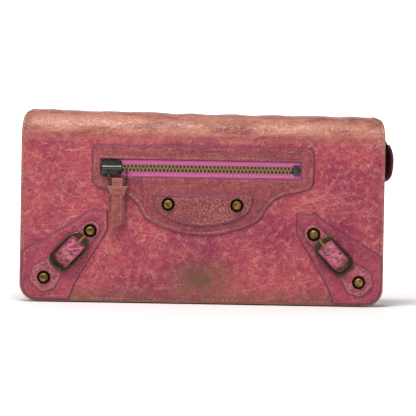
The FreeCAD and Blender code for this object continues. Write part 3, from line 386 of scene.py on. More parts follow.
def cover_skin(name, start, stop, fine, through_across=(), through_along=(), cut=None):
    """One skin of the cover between two places along the band. Its thickness runs out to a round
    edge within half its own thickness. The finish is rubbed at the edges and hinge lines, glazed over
    the fold, darker towards the foot, at the ends of the fold and in one stain low on the front, and
    darkened with less glaze on top of the fold as painted shade."""
    places = close_at_edges(-half_width, half_width, 0.92 * MM, through=through_across) / half_width
    along = close_at_edges(start, stop, 0.85 * MM, fine, through_along)[:, None]
    across = places[None, :] * width_at(along)
    along = along + 0 * across
    edge = to_the_edge(across, along)
    round_off = rounded_off(edge, skin_thickness / 2)
    relief = cover_relief(across, along)
    outer = cover_place(across, along, relief - round_off)
    inner = cover_place(
        across, along, np.minimum(-skin_thickness + round_off, relief - round_off - 0.05 * MM)
    )
    over = np.sin(np.clip((along - fold_height) / half_depth, 0, math.pi))
    # Painted shade on top of the fold: the glaze is mostly taken back there, and the skin darkened.
    painted_crown_shade = np.clip((over - 0.84) / 0.1, 0, 1)
    glazed = np.clip(over * 3, 0, 1) * (1 - 0.75 * painted_crown_shade)
    rubbed = np.clip(0.9 * np.exp(-edge / (1.2 * MM)) + 0.4 * hinge_lines(along), 0, 1)
    front = along - fold_height - over_the_fold
    height = np.where(front > 0, fold_height - front, along)
    # Darker in one stain low on the front, towards the foot, at the ends of the fold, and on top of the fold
    # as painted shade.
    grime_and_shade = 1.1 * bell(across, 15 * MM) * bell(height - 14.5 * MM, 9 * MM) * (front > 0)
    grime_and_shade += 0.8 * bell(height, 7 * MM) + 0.6 * painted_crown_shade
    grime_and_shade += 0.35 * bell(half_width - np.abs(across), 5 * MM) * (over > 0.3)
    cells = None
    if cut is not None:
        middle_x, middle_z = (across[1:, 1:] + across[:-1, :-1]) / 2, (height[1:, 1:] + height[:-1, :-1]) / 2
        inside = (middle_x > cut[0]) & (middle_x < cut[1]) & (middle_z > cut[2]) & (middle_z < cut[3])
        cells = ~(inside & (front[1:, 1:] > 0))
    shares = {"rubbed": rubbed, "glazed": glazed, "grime_and_shade": np.clip(grime_and_shade, 0, 1)}
    return closed_skin(name, outer, inner, cover_leather, cells, shares)


def down_the_front(height):
    """Where along the band a height on the flap lies."""
    return 2 * fold_height + over_the_fold - height


back_skin = cover_skin("cover_skin_back", 0.0, top_line, (True, False))
cut_lines = (down_the_front(tape_cut[3]), down_the_front(tape_cut[2]))
flap_skin = cover_skin(
    "cover_skin_flap", top_line, flap_end, (False, True), tape_cut[:2], cut_lines, tape_cut
)
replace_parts(back_skin, "cover_back_leather")
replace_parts(flap_skin, "cover_flap_leather", "cover_spine_leather")

# Its stitching: one row of waxed thread, 1.9 mm in from the edge, down both sides, round the lower
# corners and along the foot of the flap and of the back. Each stitch is laid in a groove.
STITCH_PITCH = 2.6 * MM
STITCH_LENGTH = 2.0 * MM
STITCH_THICKNESS = 0.55 * MM


def waxed_thread(name, colour, dark):
    """Waxed thread, twisted: a fine slant of ribs and a dirty cast in places."""
    thread = Finish(name)
    twist = thread.node(
        "ShaderNodeTexWave", {"Vector": thread.turned(35, (1, 1, 1)), "Scale": 900.0}
    ).outputs["Fac"]
    soil = thread.between(thread.clouds(12 * MM, 4.0), 0.35, 0.65)
    mixed = thread.colours(soil, dark, colour)
    return thread.done(mixed, 0.62, thread.raised(twist, 0.05 * MM))


rose_thread = waxed_thread("rose_thread", dyed(194, 118, 124), dyed(120, 48, 70))


def evenly(path, pitch, closed=False):
    """Places `pitch` apart along a path of points, with the way ahead at each."""
    path = np.concatenate([path, path[:1]]) if closed else path
    steps = np.linalg.norm(np.diff(path, axis=0), axis=1)
    run = np.concatenate([[0], np.cumsum(steps)])
    count = max(2, round(run[-1] / pitch))
    at = (np.arange(count) + 0.5) * run[-1] / count
    places = np.stack([np.interp(at, run, path[:, k]) for k in range(path.shape[1])], -1)
    ahead = np.stack([np.interp(at + pitch / 4, run, path[:, k]) for k in range(path.shape[1])], -1) - places
    return places, ahead / np.linalg.norm(ahead, axis=1, keepdims=True)


def stitch_row(name, centres, ahead, outward):
    """Row of stitches as one mesh. Each is a spindle of five rings of six points, its radius swelling
    in the middle, laid along the seam with a slight slant and flattened towards the skin."""
    side = np.cross(outward, ahead)
    slanted = ahead + 0.16 * side
    slanted /= np.linalg.norm(slanted, axis=1, keepdims=True)
    side = np.cross(outward, slanted)
    along = np.array([-0.5, -0.38, 0.0, 0.38, 0.5])[:, None, None] * STITCH_LENGTH
    swell = np.array([0.25, 0.8, 1.0, 0.8, 0.25])[:, None, None] * STITCH_THICKNESS / 2
    turn = np.linspace(0, 2 * math.pi, 6, endpoint=False)[None, :, None]
    section = swell * np.cos(turn) * side[:, None, None] + 0.8 * swell * np.sin(turn) * outward[:, None, None]
    points = centres[:, None, None] + along * slanted[:, None, None] + section
    index = np.arange(30).reshape(5, 6)
    after = np.roll(index, -1, axis=1)
    sides = np.stack([index[:-1], after[:-1], after[1:], index[1:]], -1).reshape(-1, 4)
    caps = np.array([[3, 2, 1, 0], [5, 4, 3, 0], [24, 25, 26, 27], [24, 27, 28, 29]])
    one = np.concatenate([sides[:, ::-1], caps[:, ::-1]])
    faces = (one[None] + 30 * np.arange(len(centres))[:, None, None]).reshape(-1, 4)
    return mesh_piece(name, points.reshape(-1, 3), faces, rose_thread, sharp=80)


def cover_seam(name, start, stop):
    """The seam of one skin: down one side from the top of the fold, a quarter circle round the
    corner, along the foot and up the other side, mirrored; laid on the cover's own relief."""
    side = np.linspace(start, stop, 200)
    quarter = np.linspace(0, math.pi / 2, 24)
    way = 1 if stop > start else -1
    corner_along = stop + way * (foot_radius - SEAM_INSET) * np.sin(quarter)
    corner_across = half_width - foot_radius + (foot_radius - SEAM_INSET) * np.cos(quarter)
    right = np.concatenate(
        [np.stack([width_at(side) - SEAM_INSET, side], -1), np.stack([corner_across, corner_along], -1)[1:]]
    )
    flat = np.concatenate([right, right[::-1] * (-1, 1)])
    places, ahead = evenly(flat, STITCH_PITCH)
    lift = cover_relief(places[:, 0], places[:, 1]) + 0.14 * MM
    centres = cover_place(places[:, 0], places[:, 1], lift)
    outward = cover_place(places[:, 0], places[:, 1], lift + MM) - centres
    outward /= np.linalg.norm(outward, axis=1, keepdims=True)
    forward = cover_place(places[:, 0] + ahead[:, 0] * MM, places[:, 1] + ahead[:, 1] * MM, lift) - centres
    forward /= np.linalg.norm(forward, axis=1, keepdims=True)
    return stitch_row(name, centres, forward, outward)


def facing_stitches(name, places, ahead, depth):
    """A row of stitches that all face the front, at places across and up, standing at `depth`."""
    centres = np.stack([places[:, 0], depth, places[:, 1]], -1)
    forward = np.stack([ahead[:, 0], 0 * ahead[:, 0], ahead[:, 1]], -1)
    return stitch_row(name, centres, forward, np.broadcast_to([0.0, -1.0, 0.0], centres.shape))


back_seam = cover_seam("cover_stitches_back", top_line - 1 * MM, foot_radius)
flap_seam = cover_seam("cover_stitches_flap", top_line + 1 * MM, flap_end - foot_radius)
for piece in (back_skin, back_seam):
    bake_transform(piece)
for piece in (flap_skin, flap_seam):
    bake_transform(piece)

# ---------------------------------------------------------------------------
# The zip patch: a second layer of the same skin sewn on the flap, with a slot for the zip. It is
# straight on top, drawn in at its lower corners and hangs down in a bowl in the middle. Its edges
# are turned under and painted dark, and stitched outside the slot and inside the outline.
PATCH_PROFILE = np.array([
    (0.0, 0.12), (0.06, 0.5), (0.22, 0.86), (0.6, 1.08), (1.1, 1.05), (1.5, 0.84), (1.8, 0.74), (2.1, 0.84),
    (2.7, 0.98), (3.6, 1.0),
])
PATCH_SEAM_INSET = 1.8 * MM
SEAM_SINK = 0.12 * MM
patch_low, patch_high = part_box("zip_patch")
patch_thickness = patch_high.y - patch_low.y
window_low, window_high = Vector((-54.6 * MM, 0, 68.3 * MM)), Vector((52.3 * MM, 0, 76.9 * MM))
patch_leather = glazed_lambskin(
    "patch_lambskin", dyed(154, 68, 72), dyed(120, 40, 58), dyed(178, 104, 90), 0.34, gloss=0.38
)


def distance_to(outline, x, z):
    """Distance from each place to the nearest of an outline's straight runs."""
    starts, ends = outline, np.roll(outline, -1, axis=0)
    run = ends - starts
    squared = np.maximum((run**2).sum(1), 1e-16)
    best = np.full(x.size, np.inf)
    flat = np.stack([x.ravel(), z.ravel()], -1)
    for part in np.array_split(np.arange(len(starts)), max(1, len(starts) // 40)):
        offset = flat[:, None] - starts[part][None]
        share = np.clip((offset * run[part]).sum(2) / squared[part], 0, 1)
        gap = offset - share[..., None] * run[part]
        best = np.minimum(best, np.sqrt((gap**2).sum(2)).min(1))
    return best.reshape(x.shape)


def eased(corners, step=0.25 * MM, rounding=0.8 * MM):
    """A run of corners as closely spaced points, its turns rounded by averaging over `rounding`."""
    corners = np.array(corners, float) * MM
    places, _ = evenly(corners, step)
    places = np.concatenate([corners[:1], places, corners[-1:]])
    reach = max(1, round(rounding / step))
    padded = np.pad(places, ((reach, reach), (0, 0)), mode="reflect", reflect_type="odd")
    window = np.ones(2 * reach + 1) / (2 * reach + 1)
    return np.stack([np.convolve(padded[:, k], window, "valid") for k in range(2)], -1)


def cut_grid(lower, upper, step):
    """Grid of a piece cut between a lower and an upper edge, each a run of points from end to end:
    columns across, rows rising from one edge to the other, both drawn together near the edges."""
    columns = close_at_edges(max(lower[0, 0], upper[0, 0]), min(lower[-1, 0], upper[-1, 0]), step)
    floor, roof = np.interp(columns, *lower.T), np.interp(columns, *upper.T)
    tall = roof - floor
    squeeze = np.minimum(1, tall / (8 * MM))
    middle = np.linspace(0, 1, max(3, round(tall.max() / step) - 6))[1:-1, None]
    low_rows, high_rows = floor + EDGE_STEPS[:, None] * squeeze, roof - EDGE_STEPS[::-1, None] * squeeze
    between = low_rows[-1] + middle * (high_rows[0] - low_rows[-1])
    z = np.concatenate([low_rows, between, high_rows])
    return np.broadcast_to(columns, z.shape), z


def outline_of(lower, upper):
    """The closed outline between a lower and an upper edge, run anticlockwise."""
    return np.concatenate([lower, upper[::-1]])


def flap_lift(x, z):
    """How far the flap's face stands off its even plane at a place."""
    return cover_relief(x, down_the_front(z))


def patch_shares(edge, reach=0.85 * MM, rub=0.3):
    """The finish of a sewn patch by the distance from its edge: an ink line at the very edge, rubbed
    just inside it."""
    ink_and_shade = np.clip(bell(edge, reach) * 0.9, 0, 1)
    rubbed = rub * bell(edge - 1.0 * MM, 0.8 * MM)
    return {"ink_and_shade": ink_and_shade, "rubbed": rubbed}


def flap_patch(name, lower, upper, bottom, thickness, material, step=0.9 * MM, follow=1.0, cut=None, rub=0.3):
    """A patch sewn on the flap's face, which lies at depth `bottom`: its height over the skin follows
    the turned edge's profile by the distance from its outline, and it keeps the skin's crinkles."""
    x, z = cut_grid(lower, upper, step)
    edge = distance_to(outline_of(lower, upper), x, z)
    cells = None
    settled = 1.0
    if cut is not None:
        x, z, edge, cells, from_slot = with_slot(x, z, *cut)
        settled = np.clip(from_slot / (5 * MM), 0, 1)
    height = np.interp(edge, PATCH_PROFILE[:, 0] * MM, PATCH_PROFILE[:, 1]) * thickness
    lift = flap_lift(x, z) * follow * settled
    face = np.stack([x, bottom - lift - height, z], -1)
    reverse = np.stack([x, bottom - np.minimum(lift, 0) + 0.12 * MM + 0 * x, z], -1)
    return closed_skin(name, face, reverse, material, cells, patch_shares(edge, rub=rub))


def with_slot(x, z, low, high):
    """The grid with lines drawn together on a slot's four sides, the distance to the nearer of outline
    and slot, the cells left once the slot is cut out, and the distance to the slot alone."""
    columns = x[0].copy()
    near = EDGE_STEPS[:-1]
    away = (columns < low.x - 3 * MM) | (columns > high.x + 3 * MM) | (
        (columns > low.x + 2 * MM) & (columns < high.x - 2 * MM)
    )
    columns = np.unique(np.concatenate([columns[away], low.x - near, high.x + near]))
    floor = np.interp(columns, x[0], z[0])
    roof = np.interp(columns, x[0], z[-1])
    rise = EDGE_STEPS
    gap = (low.z - near[-1]) - (floor + rise[-1])
    below = np.concatenate([
        floor + rise[:, None], floor + rise[-1] + np.linspace(0, 1, 22)[1:-1, None] * gap
    ])
    beside = np.concatenate([low.z - near[::-1], np.linspace(low.z, high.z, 8)[1:-1], high.z + near])
    beside = np.broadcast_to(beside[:, None], (len(beside), len(columns)))
    squeeze = np.minimum(1, (roof - beside[-1]) / (3.5 * MM))
    above = np.maximum(roof - rise[::-1, None] * squeeze, beside[-1] + 0.01 * MM)
    z = np.concatenate([below, beside, above])
    x = np.broadcast_to(columns, z.shape)
    outline = outline_of(np.stack([x[0], z[0]], -1), np.stack([x[-1], z[-1]], -1))
    slot = np.array([(low.x, low.z), (high.x, low.z), (high.x, high.z), (low.x, high.z)])
    from_slot = distance_to(slot, x, z)
    edge = np.minimum(distance_to(outline, x, z), from_slot)
    middle_x, middle_z = (x[1:, 1:] + x[:-1, :-1]) / 2, (z[1:, 1:] + z[:-1, :-1]) / 2
    inside = (middle_x > low.x) & (middle_x < high.x) & (middle_z > low.z) & (middle_z < high.z)
    return x, z, edge, ~inside, from_slot


def seam_inside(outline, inset, pitch=STITCH_PITCH):
    """Stitch places `inset` inside a closed outline: it is moved in along its own square-off, and what
    falls nearer than that to another part of it is dropped."""
    dense, ahead = evenly(outline, 0.3 * MM, closed=True)
    moved = dense + inset * np.stack([-ahead[:, 1], ahead[:, 0]], -1)
    clear = distance_to(dense, moved[:, 0], moved[:, 1]) > inset - 0.12 * MM
    return evenly(moved[clear], pitch, closed=True)


def flap_stitches(name, outline, inset, depth, follow=1.0):
    """A row of stitches round a patch on the flap, standing at `depth`."""
    places, ahead = seam_inside(outline, inset)
    return facing_stitches(name, places, ahead, depth - flap_lift(places[:, 0], places[:, 1]) * follow)


bowl = [
    (59.6, 66.8), (58.9, 64.2), (57.0, 62.4), (54.0, 61.3), (42.6, 58.6), (38.4, 56.4), (35.2, 53.0),
    (33.2, 49.4), (31.6, 46.6), (29.6, 44.6), (22.0, 41.0), (13.0, 38.2), (5.0, 36.9),
]
patch_lower = eased([(-x, z) for x, z in bowl] + [(0, 36.7)] + bowl[::-1], rounding=1.0 * MM)
patch_upper = eased([(-59.6, 81.6), (-58.9, 84.0), (-56.6, 85.0), (56.6, 85.0), (58.9, 84.0), (59.6, 81.6)])
zip_patch = flap_patch(
    "zip_patch_leather", patch_lower, patch_upper, patch_high.y, patch_thickness, patch_leather,
    cut=(window_low, window_high),
)
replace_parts(zip_patch, "zip_patch")
patch_outline = outline_of(patch_lower, patch_upper)
seam_depth = patch_low.y + SEAM_SINK
patch_stitches = flap_stitches("zip_patch_stitches", patch_outline, PATCH_SEAM_INSET, seam_depth)
slot_frame = np.array([
    (window_low.x, window_low.z), (window_high.x, window_low.z), (window_high.x, window_high.z),
    (window_low.x, window_high.z),
])
slot_frame = slot_frame + np.array([(-3.6, -3.6), (3.6, -3.6), (3.6, 3.6), (-3.6, 3.6)]) * MM
slot_stitches = flap_stitches("zip_slot_stitches", slot_frame, PATCH_SEAM_INSET, seam_depth)
for piece in (zip_patch, patch_stitches, slot_stitches):
    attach(piece, "flap")

# The half-moon label: a small plain patch of pebbled skin under the zip, straight on top and round
# below, held by a stud at each end. Dirt has gathered along its stitched rim.
label_low, label_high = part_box("label_patch")


def pebbled_skin(name):
    """Pebbled lambskin: rounded grains a millimetre across, tan on top and red-brown between, with a
    dirty band and an ink line at its rim."""
    skin = Finish(name)
    grains = skin.pebbles(0.95 * MM, skin.warped(skin.place, 4 * MM, 0.6 * MM))
    tops = skin.between(grains, 0.15, 0.75, 1.0, 0.0)
    cloud = skin.between(skin.clouds(10 * MM, 4.0), 0.35, 0.65)
    top_colour = skin.colours(cloud, dyed(152, 70, 66), dyed(174, 98, 82))
    colour = skin.colours(tops, dyed(116, 40, 48), top_colour)
    dirt = skin.times(skin.worked("rubbed"), skin.between(skin.clouds(3 * MM, 4.0), 0.35, 0.6))
    colour = skin.colours(dirt, colour, dyed(98, 66, 54))
    colour = skin.colours(skin.worked("ink_and_shade"), colour, dyed(132, 36, 78))
    return skin.done(colour, 0.45, skin.raised(tops, 0.22 * MM), Coat_Weight=0.1, Coat_Roughness=0.3)


label_leather = pebbled_skin("label_pebbled_lambskin")
half_moon = [(27.0, 57.6), (26.6, 53.4), (25.2, 50.6), (22.4, 48.0), (17.0, 45.0), (10.0, 42.9), (4.0, 42.1)]
label_lower = eased([(-x, z) for x, z in half_moon] + [(0, 41.9)] + half_moon[::-1], rounding=0.6 * MM)
label_upper = eased([(-27.0, 58.6), (-26.4, 59.1), (26.4, 59.1), (27.0, 58.6)], rounding=0.3 * MM)
label = flap_patch(
    "label_leather", label_lower, label_upper, patch_low.y, label_high.y - label_low.y, label_leather,
    0.8 * MM, 0.6, rub=0.85,
)
label_seam = flap_stitches(
    "label_stitches", outline_of(label_lower, label_upper), 1.6 * MM, label_low.y + SEAM_SINK, follow=0.6
)
for piece in (label, label_seam):
    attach(piece, "flap")
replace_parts(label, "label_patch")

# The corner patches: a piece of deeper pink skin sewn over each lower corner of the flap. Each one
# is cut straight on its two sides and to a blunt tongue at the top, where the strap starts.
corner_leather = glazed_lambskin(
    "corner_lambskin", dyed(170, 60, 84), dyed(132, 34, 68), dyed(186, 98, 98), 0.34, gloss=0.38
)
corner_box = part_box("corner_patch_right")
corner_lower = [
    (50.4, 40.0), (50.7, 38.4), (65.0, 15.0), (68.6, 8.0), (70.9, 1.5), (87.6, 1.5), (90.6, 2.0), (93.2, 3.4),
    (95.2, 5.8), (96.3, 8.8), (96.6, 11.0),
]
corner_upper = [(50.4, 49.0), (51.0, 49.7), (61.0, 49.7), (66.5, 45.2), (96.6, 27.4)]
corner_pieces = []
for side, way in (("left", -1), ("right", 1)):
    lower = eased(corner_lower, rounding=0.6 * MM) * (way, 1)
    upper = eased(corner_upper, rounding=0.6 * MM) * (way, 1)
    lower, upper = lower[::way], upper[::way]
    patch = flap_patch(
        f"corner_leather_{side}", lower, upper, corner_box[1].y, corner_box[1].y - corner_box[0].y,
        corner_leather,
    )
    seam = flap_stitches(
        f"corner_stitches_{side}", outline_of(lower, upper), PATCH_SEAM_INSET, corner_box[0].y + SEAM_SINK
    )
    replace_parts(patch, f"corner_patch_{side}")
    corner_pieces += [patch, seam]
for piece in corner_pieces:
    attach(piece, "flap")

# ---------------------------------------------------------------------------
# The buckled straps: a short strap of skin over each corner patch, pointed below and round above,
# held by a stud at each end and humped where it passes over the bar of its buckle. The part inside
# the buckle has kept its first bright pink.
strap_middle = (72.1 * MM, 26.0 * MM)
strap_turn = math.radians(46)
strap_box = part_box("buckle_strap_right")
strap_foot = corner_box[0].y
strap_thickness = 0.9 * MM
strap_rise = strap_foot - strap_thickness - strap_box[0].y


def strap_skin(name):
    """Strap skin: as the patches, but bright pink with dark handling marks where the buckle kept it
    from wear."""
    skin = Finish(name)
    mottle = skin.between(skin.clouds(5 * MM, 5.0, 0.7), 0.35, 0.68)
    plain = skin.colours(mottle, dyed(132, 42, 70), dyed(170, 80, 92))
    marks = skin.between(skin.clouds(3.2 * MM, 4.0, 0.65, skin.turned(46, (1.0, 1.0, 2.2))), 0.46, 0.6)
    bright = skin.colours(marks, dyed(186, 84, 112), dyed(70, 22, 34))
    colour = skin.colours(skin.worked("sheltered"), plain, bright)
    lines = skin.between(skin.cracks(4 * MM, skin.warped(skin.place, 3 * MM, 2 * MM)), 0.0, 0.1, 1.0, 0.0)
    colour = skin.colours(skin.times(lines, 0.3), colour, dyed(220, 150, 150))
    colour = skin.colours(skin.worked("rubbed"), colour, dyed(150, 120, 92))
    # Edge ink, and painted shade at the prong hole and along the edges inside the buckle.
    colour = skin.colours(skin.worked("ink_and_shade"), colour, dyed(108, 30, 62))
    pebbled = skin.between(skin.pebbles(1.0 * MM), 0.0, 0.9, 1.0, 0.0)
    return skin.done(
        colour, 0.42, skin.raised(lines, -0.12 * MM, skin.raised(pebbled, 0.08 * MM)), Coat_Weight=0.1,
        Coat_Roughness=0.3,
    )


strap_leather = strap_skin("strap_lambskin")


def hump(along):
    """Rise of the strap over the buckle's bar: a smooth hill, from nothing outside the buckle's ends
    to the full height over the bar."""
    up = np.clip((along + 7.0 * MM) / (6.5 * MM), 0, 1)
    down = np.clip((11.0 * MM - along) / (5.0 * MM), 0, 1)
    return (up * up * (3 - 2 * up)) * (down * down * (3 - 2 * down))


def strap_width(along):
    """Half the strap's width: a blunt point at the foot, widest at the shoulder, drawn in to the waist
    and even up to its round end."""
    table = np.array([
        (-24.5, 3.4), (-23.6, 5.2), (-18.4, 8.3), (-17.2, 8.2), (-9.0, 5.7), (-6.0, 4.95), (17.8, 4.95),
        (20.4, 4.3), (22.0, 3.2), (22.8, 2.0), (23.2, 0.6),
    ]) * MM
    return np.interp(along, *table.T)


def on_the_strap(along, across):
    """Where a place along and across the right strap lies, across and up the flap."""
    x = strap_middle[0] - along * math.cos(strap_turn) + across * math.sin(strap_turn)
    z = strap_middle[1] + along * math.sin(strap_turn) + across * math.cos(strap_turn)
    return x, z


def buckled_strap(side, way):
    """One strap: a grid along its length and from edge to edge, with the same turned edge as the
    patches, lifted by the hump and turned to lie across the corner."""
    along = close_at_edges(-24.5 * MM, 23.2 * MM, 0.7 * MM)[:, None]
    shares = close_at_edges(-5 * MM, 5 * MM, 0.7 * MM)[None, :] / (5 * MM)
    across = shares * strap_width(along)
    along = along + 0 * across
    rim = outline_of(np.stack([along[:, 0], across[:, 0]], -1), np.stack([along[:, 0], across[:, -1]], -1))
    edge = distance_to(rim, along, across)
    height = np.interp(edge, PATCH_PROFILE[:, 0] * MM, PATCH_PROFILE[:, 1]) * strap_thickness
    lift = hump(along) * strap_rise
    x, z = on_the_strap(along, across)
    face = np.stack([x * way, strap_foot - lift - height, z], -1)
    reverse = np.stack([x * way, strap_foot - lift * 0.92 + 0.1 * MM + 0 * x, z], -1)
    sheltered = np.clip(hump(along) * 1.3 - 0.1, 0, 1) * np.clip((edge - 0.3 * MM) / (0.5 * MM), 0, 1)
    rubbed = 0.4 * bell(edge - 0.8 * MM, 0.5 * MM) * (np.abs(along) > 12 * MM)
    # Painted shade: the prong's hole is a dark spot on the skin, not cut through, and the dark edge line is
    # widened where the strap runs inside the buckle, for the shadowed gap by its frame.
    painted_prong_hole = np.exp(-((np.hypot(along - 6.6 * MM, across) / (1.2 * MM)) ** 4))
    ink_and_shade = np.clip(bell(edge, (0.5 + 0.7 * hump(along)) * MM) * 0.9 + painted_prong_hole, 0, 1)
    finish = {"ink_and_shade": ink_and_shade, "rubbed": rubbed, "sheltered": sheltered}
    strap = closed_skin(f"strap_leather_{side}", face, reverse, strap_leather, shares=finish)
    run = np.linspace(-22.0, 21.5, 200) * MM
    half = np.maximum(strap_width(run) - 1.5 * MM, 0.2 * MM)
    loop = outline_of(np.stack([run, -half], -1), np.stack([run, half], -1))
    places, ahead = evenly(loop, STITCH_PITCH, closed=True)
    turned = np.array([
        [-math.cos(strap_turn), math.sin(strap_turn)], [math.sin(strap_turn), math.cos(strap_turn)]
    ])
    mirrored = (way, 1)
    out = np.abs(places[:, 0] - 2 * MM) > 11.5 * MM
    depth = strap_foot - strap_thickness * 0.8 - hump(places[:, 0]) * strap_rise - 0.06 * MM
    spots, forward = (places @ turned.T + strap_middle) * mirrored, ahead @ turned.T * mirrored
    row = facing_stitches(f"strap_stitches_{side}", spots[out], forward[out], depth[out])
    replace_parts(strap, f"buckle_strap_{side}")
    for piece in (strap, row):
        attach(piece, "flap")


for side, way in (("left", -1), ("right", 1)):
    buckled_strap(side, way)

# The buckles and studs: cast brass, chemically aged nearly black in the hollows and rubbed back to
# a dull yellow where hands and the table touch it, and brighter along their sharp edges, partly as
# painted highlight. Each stud has a blackened washer, near black and wider than the head, which also
# stands for the shadow round the head as painted shadow.


def aged_brass(name, bright, dark, rubbed_share, roughness=0.34):
    """Aged brass: dark patina in clouds and pits, the metal showing through in rubbed clouds and along sharply
    curved edges, the edges partly worn and partly painted highlight.
    """
    metal = Finish(name)
    pointed = metal.node("ShaderNodeNewGeometry").outputs["Pointiness"]
    # Sharply curved edges get the bright metal: partly rubbed wear, partly painted highlight.
    proud_wear_and_highlight = metal.between(pointed, 0.5, 0.58)
    patches = metal.between(
        metal.clouds(2.4 * MM, 5.0, 0.7), 0.62 - 0.35 * rubbed_share, 0.82 - 0.35 * rubbed_share
    )
    shown = metal.sums("MAXIMUM", patches, metal.times(proud_wear_and_highlight, 0.85))
    colour = metal.colours(shown, dark, bright)
    pits = metal.clouds(0.7 * MM, 3.0, 0.6)
    return metal.done(
        colour, metal.between(pits, 0.3, 0.7, roughness, roughness + 0.2), metal.raised(pits, 0.02 * MM),
        Metallic=0.9,
    )


def finish_nodes(material, *names):
    """Gives CAD nodes, whose shape stays as it is, their finish."""
    for name in names:
        nodes[name].data.materials.clear()
        nodes[name].data.materials.append(material)


stud_brass = aged_brass("stud_brass", dyed(158, 124, 66), dyed(74, 54, 28), 0.7, 0.3)
buckle_brass = aged_brass("buckle_brass", dyed(128, 108, 74), dyed(32, 24, 21), 0.22, 0.24)
# Near black metal for the stud backs and the washers; round the heads it is partly painted shadow.
black_washer_and_shadow = aged_brass("black_washer_and_shadow", dyed(30, 20, 16), dyed(12, 8, 7), 0.3, 0.4)
finish_nodes(black_washer_and_shadow, "stud_backs")
finish_nodes(
    aged_brass("prong_brass", dyed(150, 120, 76), dyed(58, 42, 30), 0.7), "buckle_prong_left",
    "buckle_prong_right",
)
buckle_low, buckle_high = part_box("buckle_right")
STRAP_STUD_REACH = 17.65 * MM
LABEL_STUD = (18.4 * MM, 53.5 * MM)


def capped_rod(sections):
    """Quads of a rod: sections of points, each closed and of an even number, carried along an open
    path, with a flat cap of strips at both ends."""
    count = sections.shape[1]
    index = np.arange(sections.shape[0] * count).reshape(-1, count)
    beside = np.roll(index, -1, 1)
    rod = np.stack([index[:-1], beside[:-1], beside[1:], index[1:]], -1).reshape(-1, 4)
    first = np.arange(count // 2 - 1)
    strips = np.stack([first, first + 1, count - 2 - first, count - 1 - first], -1)
    return np.concatenate([rod, index[0][strips[:, ::-1]], index[-1][strips]])


def turned_studs(name, node, profile, material):
    """The same turned part at each stud's place: its profile, pairs of radius and distance behind the
    foremost point of its CAD node, is carried once round the stud's own axis."""
    turn = np.linspace(0, 2 * math.pi, 40, endpoint=False)[None, :]
    radius, behind = (np.array(profile) * MM).T[:, :, None]
    reach = STRAP_STUD_REACH * np.array([math.cos(strap_turn), -math.sin(strap_turn)])
    right = [strap_middle + reach, strap_middle - reach, LABEL_STUD]
    points, faces = [], []
    for x, z in [(way * x, z) for x, z in right for way in (-1, 1)]:
        ring = np.stack(
            [x + radius * np.cos(turn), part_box(node)[0].y + behind + 0 * turn, z + radius * np.sin(turn)], -1
        )
        faces.append(capped_rod(ring) + len(points) * ring.size // 3)
        points.append(ring.reshape(-1, 3))
    studs = mesh_piece(name, np.concatenate(points), np.concatenate(faces), material)
    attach(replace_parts(studs, node), "flap")


head_profile = [
    (0.5, 0.0), (1.2, 0.02), (1.7, 0.12), (2.05, 0.36), (2.3, 0.8), (2.42, 1.4), (2.42, 2.6), (1.4, 2.8),
    (1.4, 6.1), (0.4, 6.15),
]
turned_studs("stud_heads_turned", "stud_heads", head_profile, stud_brass)
# Each washer stands out round its head by about a millimetre and is near black: a washer, and painted shadow
# round the stud.
washer_profile = [
    (2.3, 0.35), (2.5, 0.2), (2.9, 0.04), (3.25, 0.0), (3.5, 0.14), (3.6, 0.4), (3.58, 0.62), (3.3, 0.7),
    (1.5, 0.7),
]
turned_studs("stud_washers_and_shadow", "stud_rings", washer_profile, black_washer_and_shadow)


def squared_oval(turn, half_length, half_width, shift):
    """A rounded oblong: a superellipse of power 3.4 about a middle that lies `shift` along the strap."""
    power = 2 / 3.4
    along = shift + half_length * np.sign(np.cos(turn)) * np.abs(np.cos(turn)) ** power
    return along, half_width * np.sign(np.sin(turn)) * np.abs(np.sin(turn)) ** power


def closed_ring(sections):
    """Quads of a ring: sections of points, each closed, carried round a closed path."""
    index = np.arange(sections.shape[0] * sections.shape[1]).reshape(sections.shape[:2])
    after, beside = np.roll(index, -1, 0), np.roll(index, -1, 1)
    return np.stack([index, beside, np.roll(beside, -1, 0), after], -1).reshape(-1, 4)


def buckle_frame(side, way):
    """The buckle's frame: a rounded section carried round between an outer and an inner oblong, which
    lie nearer together at the sides than at the ends, so that the lower end is a broad crescent."""
    turn = np.linspace(0, 2 * math.pi, 96, endpoint=False)[:, None]
    round_it = np.linspace(0, 2 * math.pi, 14, endpoint=False)[None, :]
    outer_along, outer_across = squared_oval(turn, 11.5 * MM, 6.75 * MM, 1.6 * MM)
    inner_along, inner_across = squared_oval(turn, 8.5 * MM, 5.3 * MM, 2.3 * MM)
    swell = np.sign(np.cos(round_it)) * np.abs(np.cos(round_it)) ** 0.7
    along = (outer_along + inner_along) / 2 + (outer_along - inner_along) / 2 * swell
    across = (outer_across + inner_across) / 2 + (outer_across - inner_across) / 2 * swell
    middle_y, half_y = (buckle_low.y + buckle_high.y) / 2, (buckle_high.y - buckle_low.y) / 2
    y = middle_y - half_y * np.sign(np.sin(round_it)) * np.abs(np.sin(round_it)) ** 0.8 + 0 * along
    x, z = on_the_strap(along, across)
    points = np.stack([x * way, y, z], -1)
    frame_piece = mesh_piece(
        f"buckle_frame_{side}", points.reshape(-1, 3), closed_ring(points), buckle_brass, sharp=60
    )
    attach(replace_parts(frame_piece, f"buckle_{side}"), "flap")


for side, way in (("left", -1), ("right", 1)):
    buckle_frame(side, way)

# ---------------------------------------------------------------------------
# The flap's zip: two bright pink woven tapes sewn behind the slot, brass teeth crimped on their
# beads, a gunmetal slider at the left end and a stop at the right.


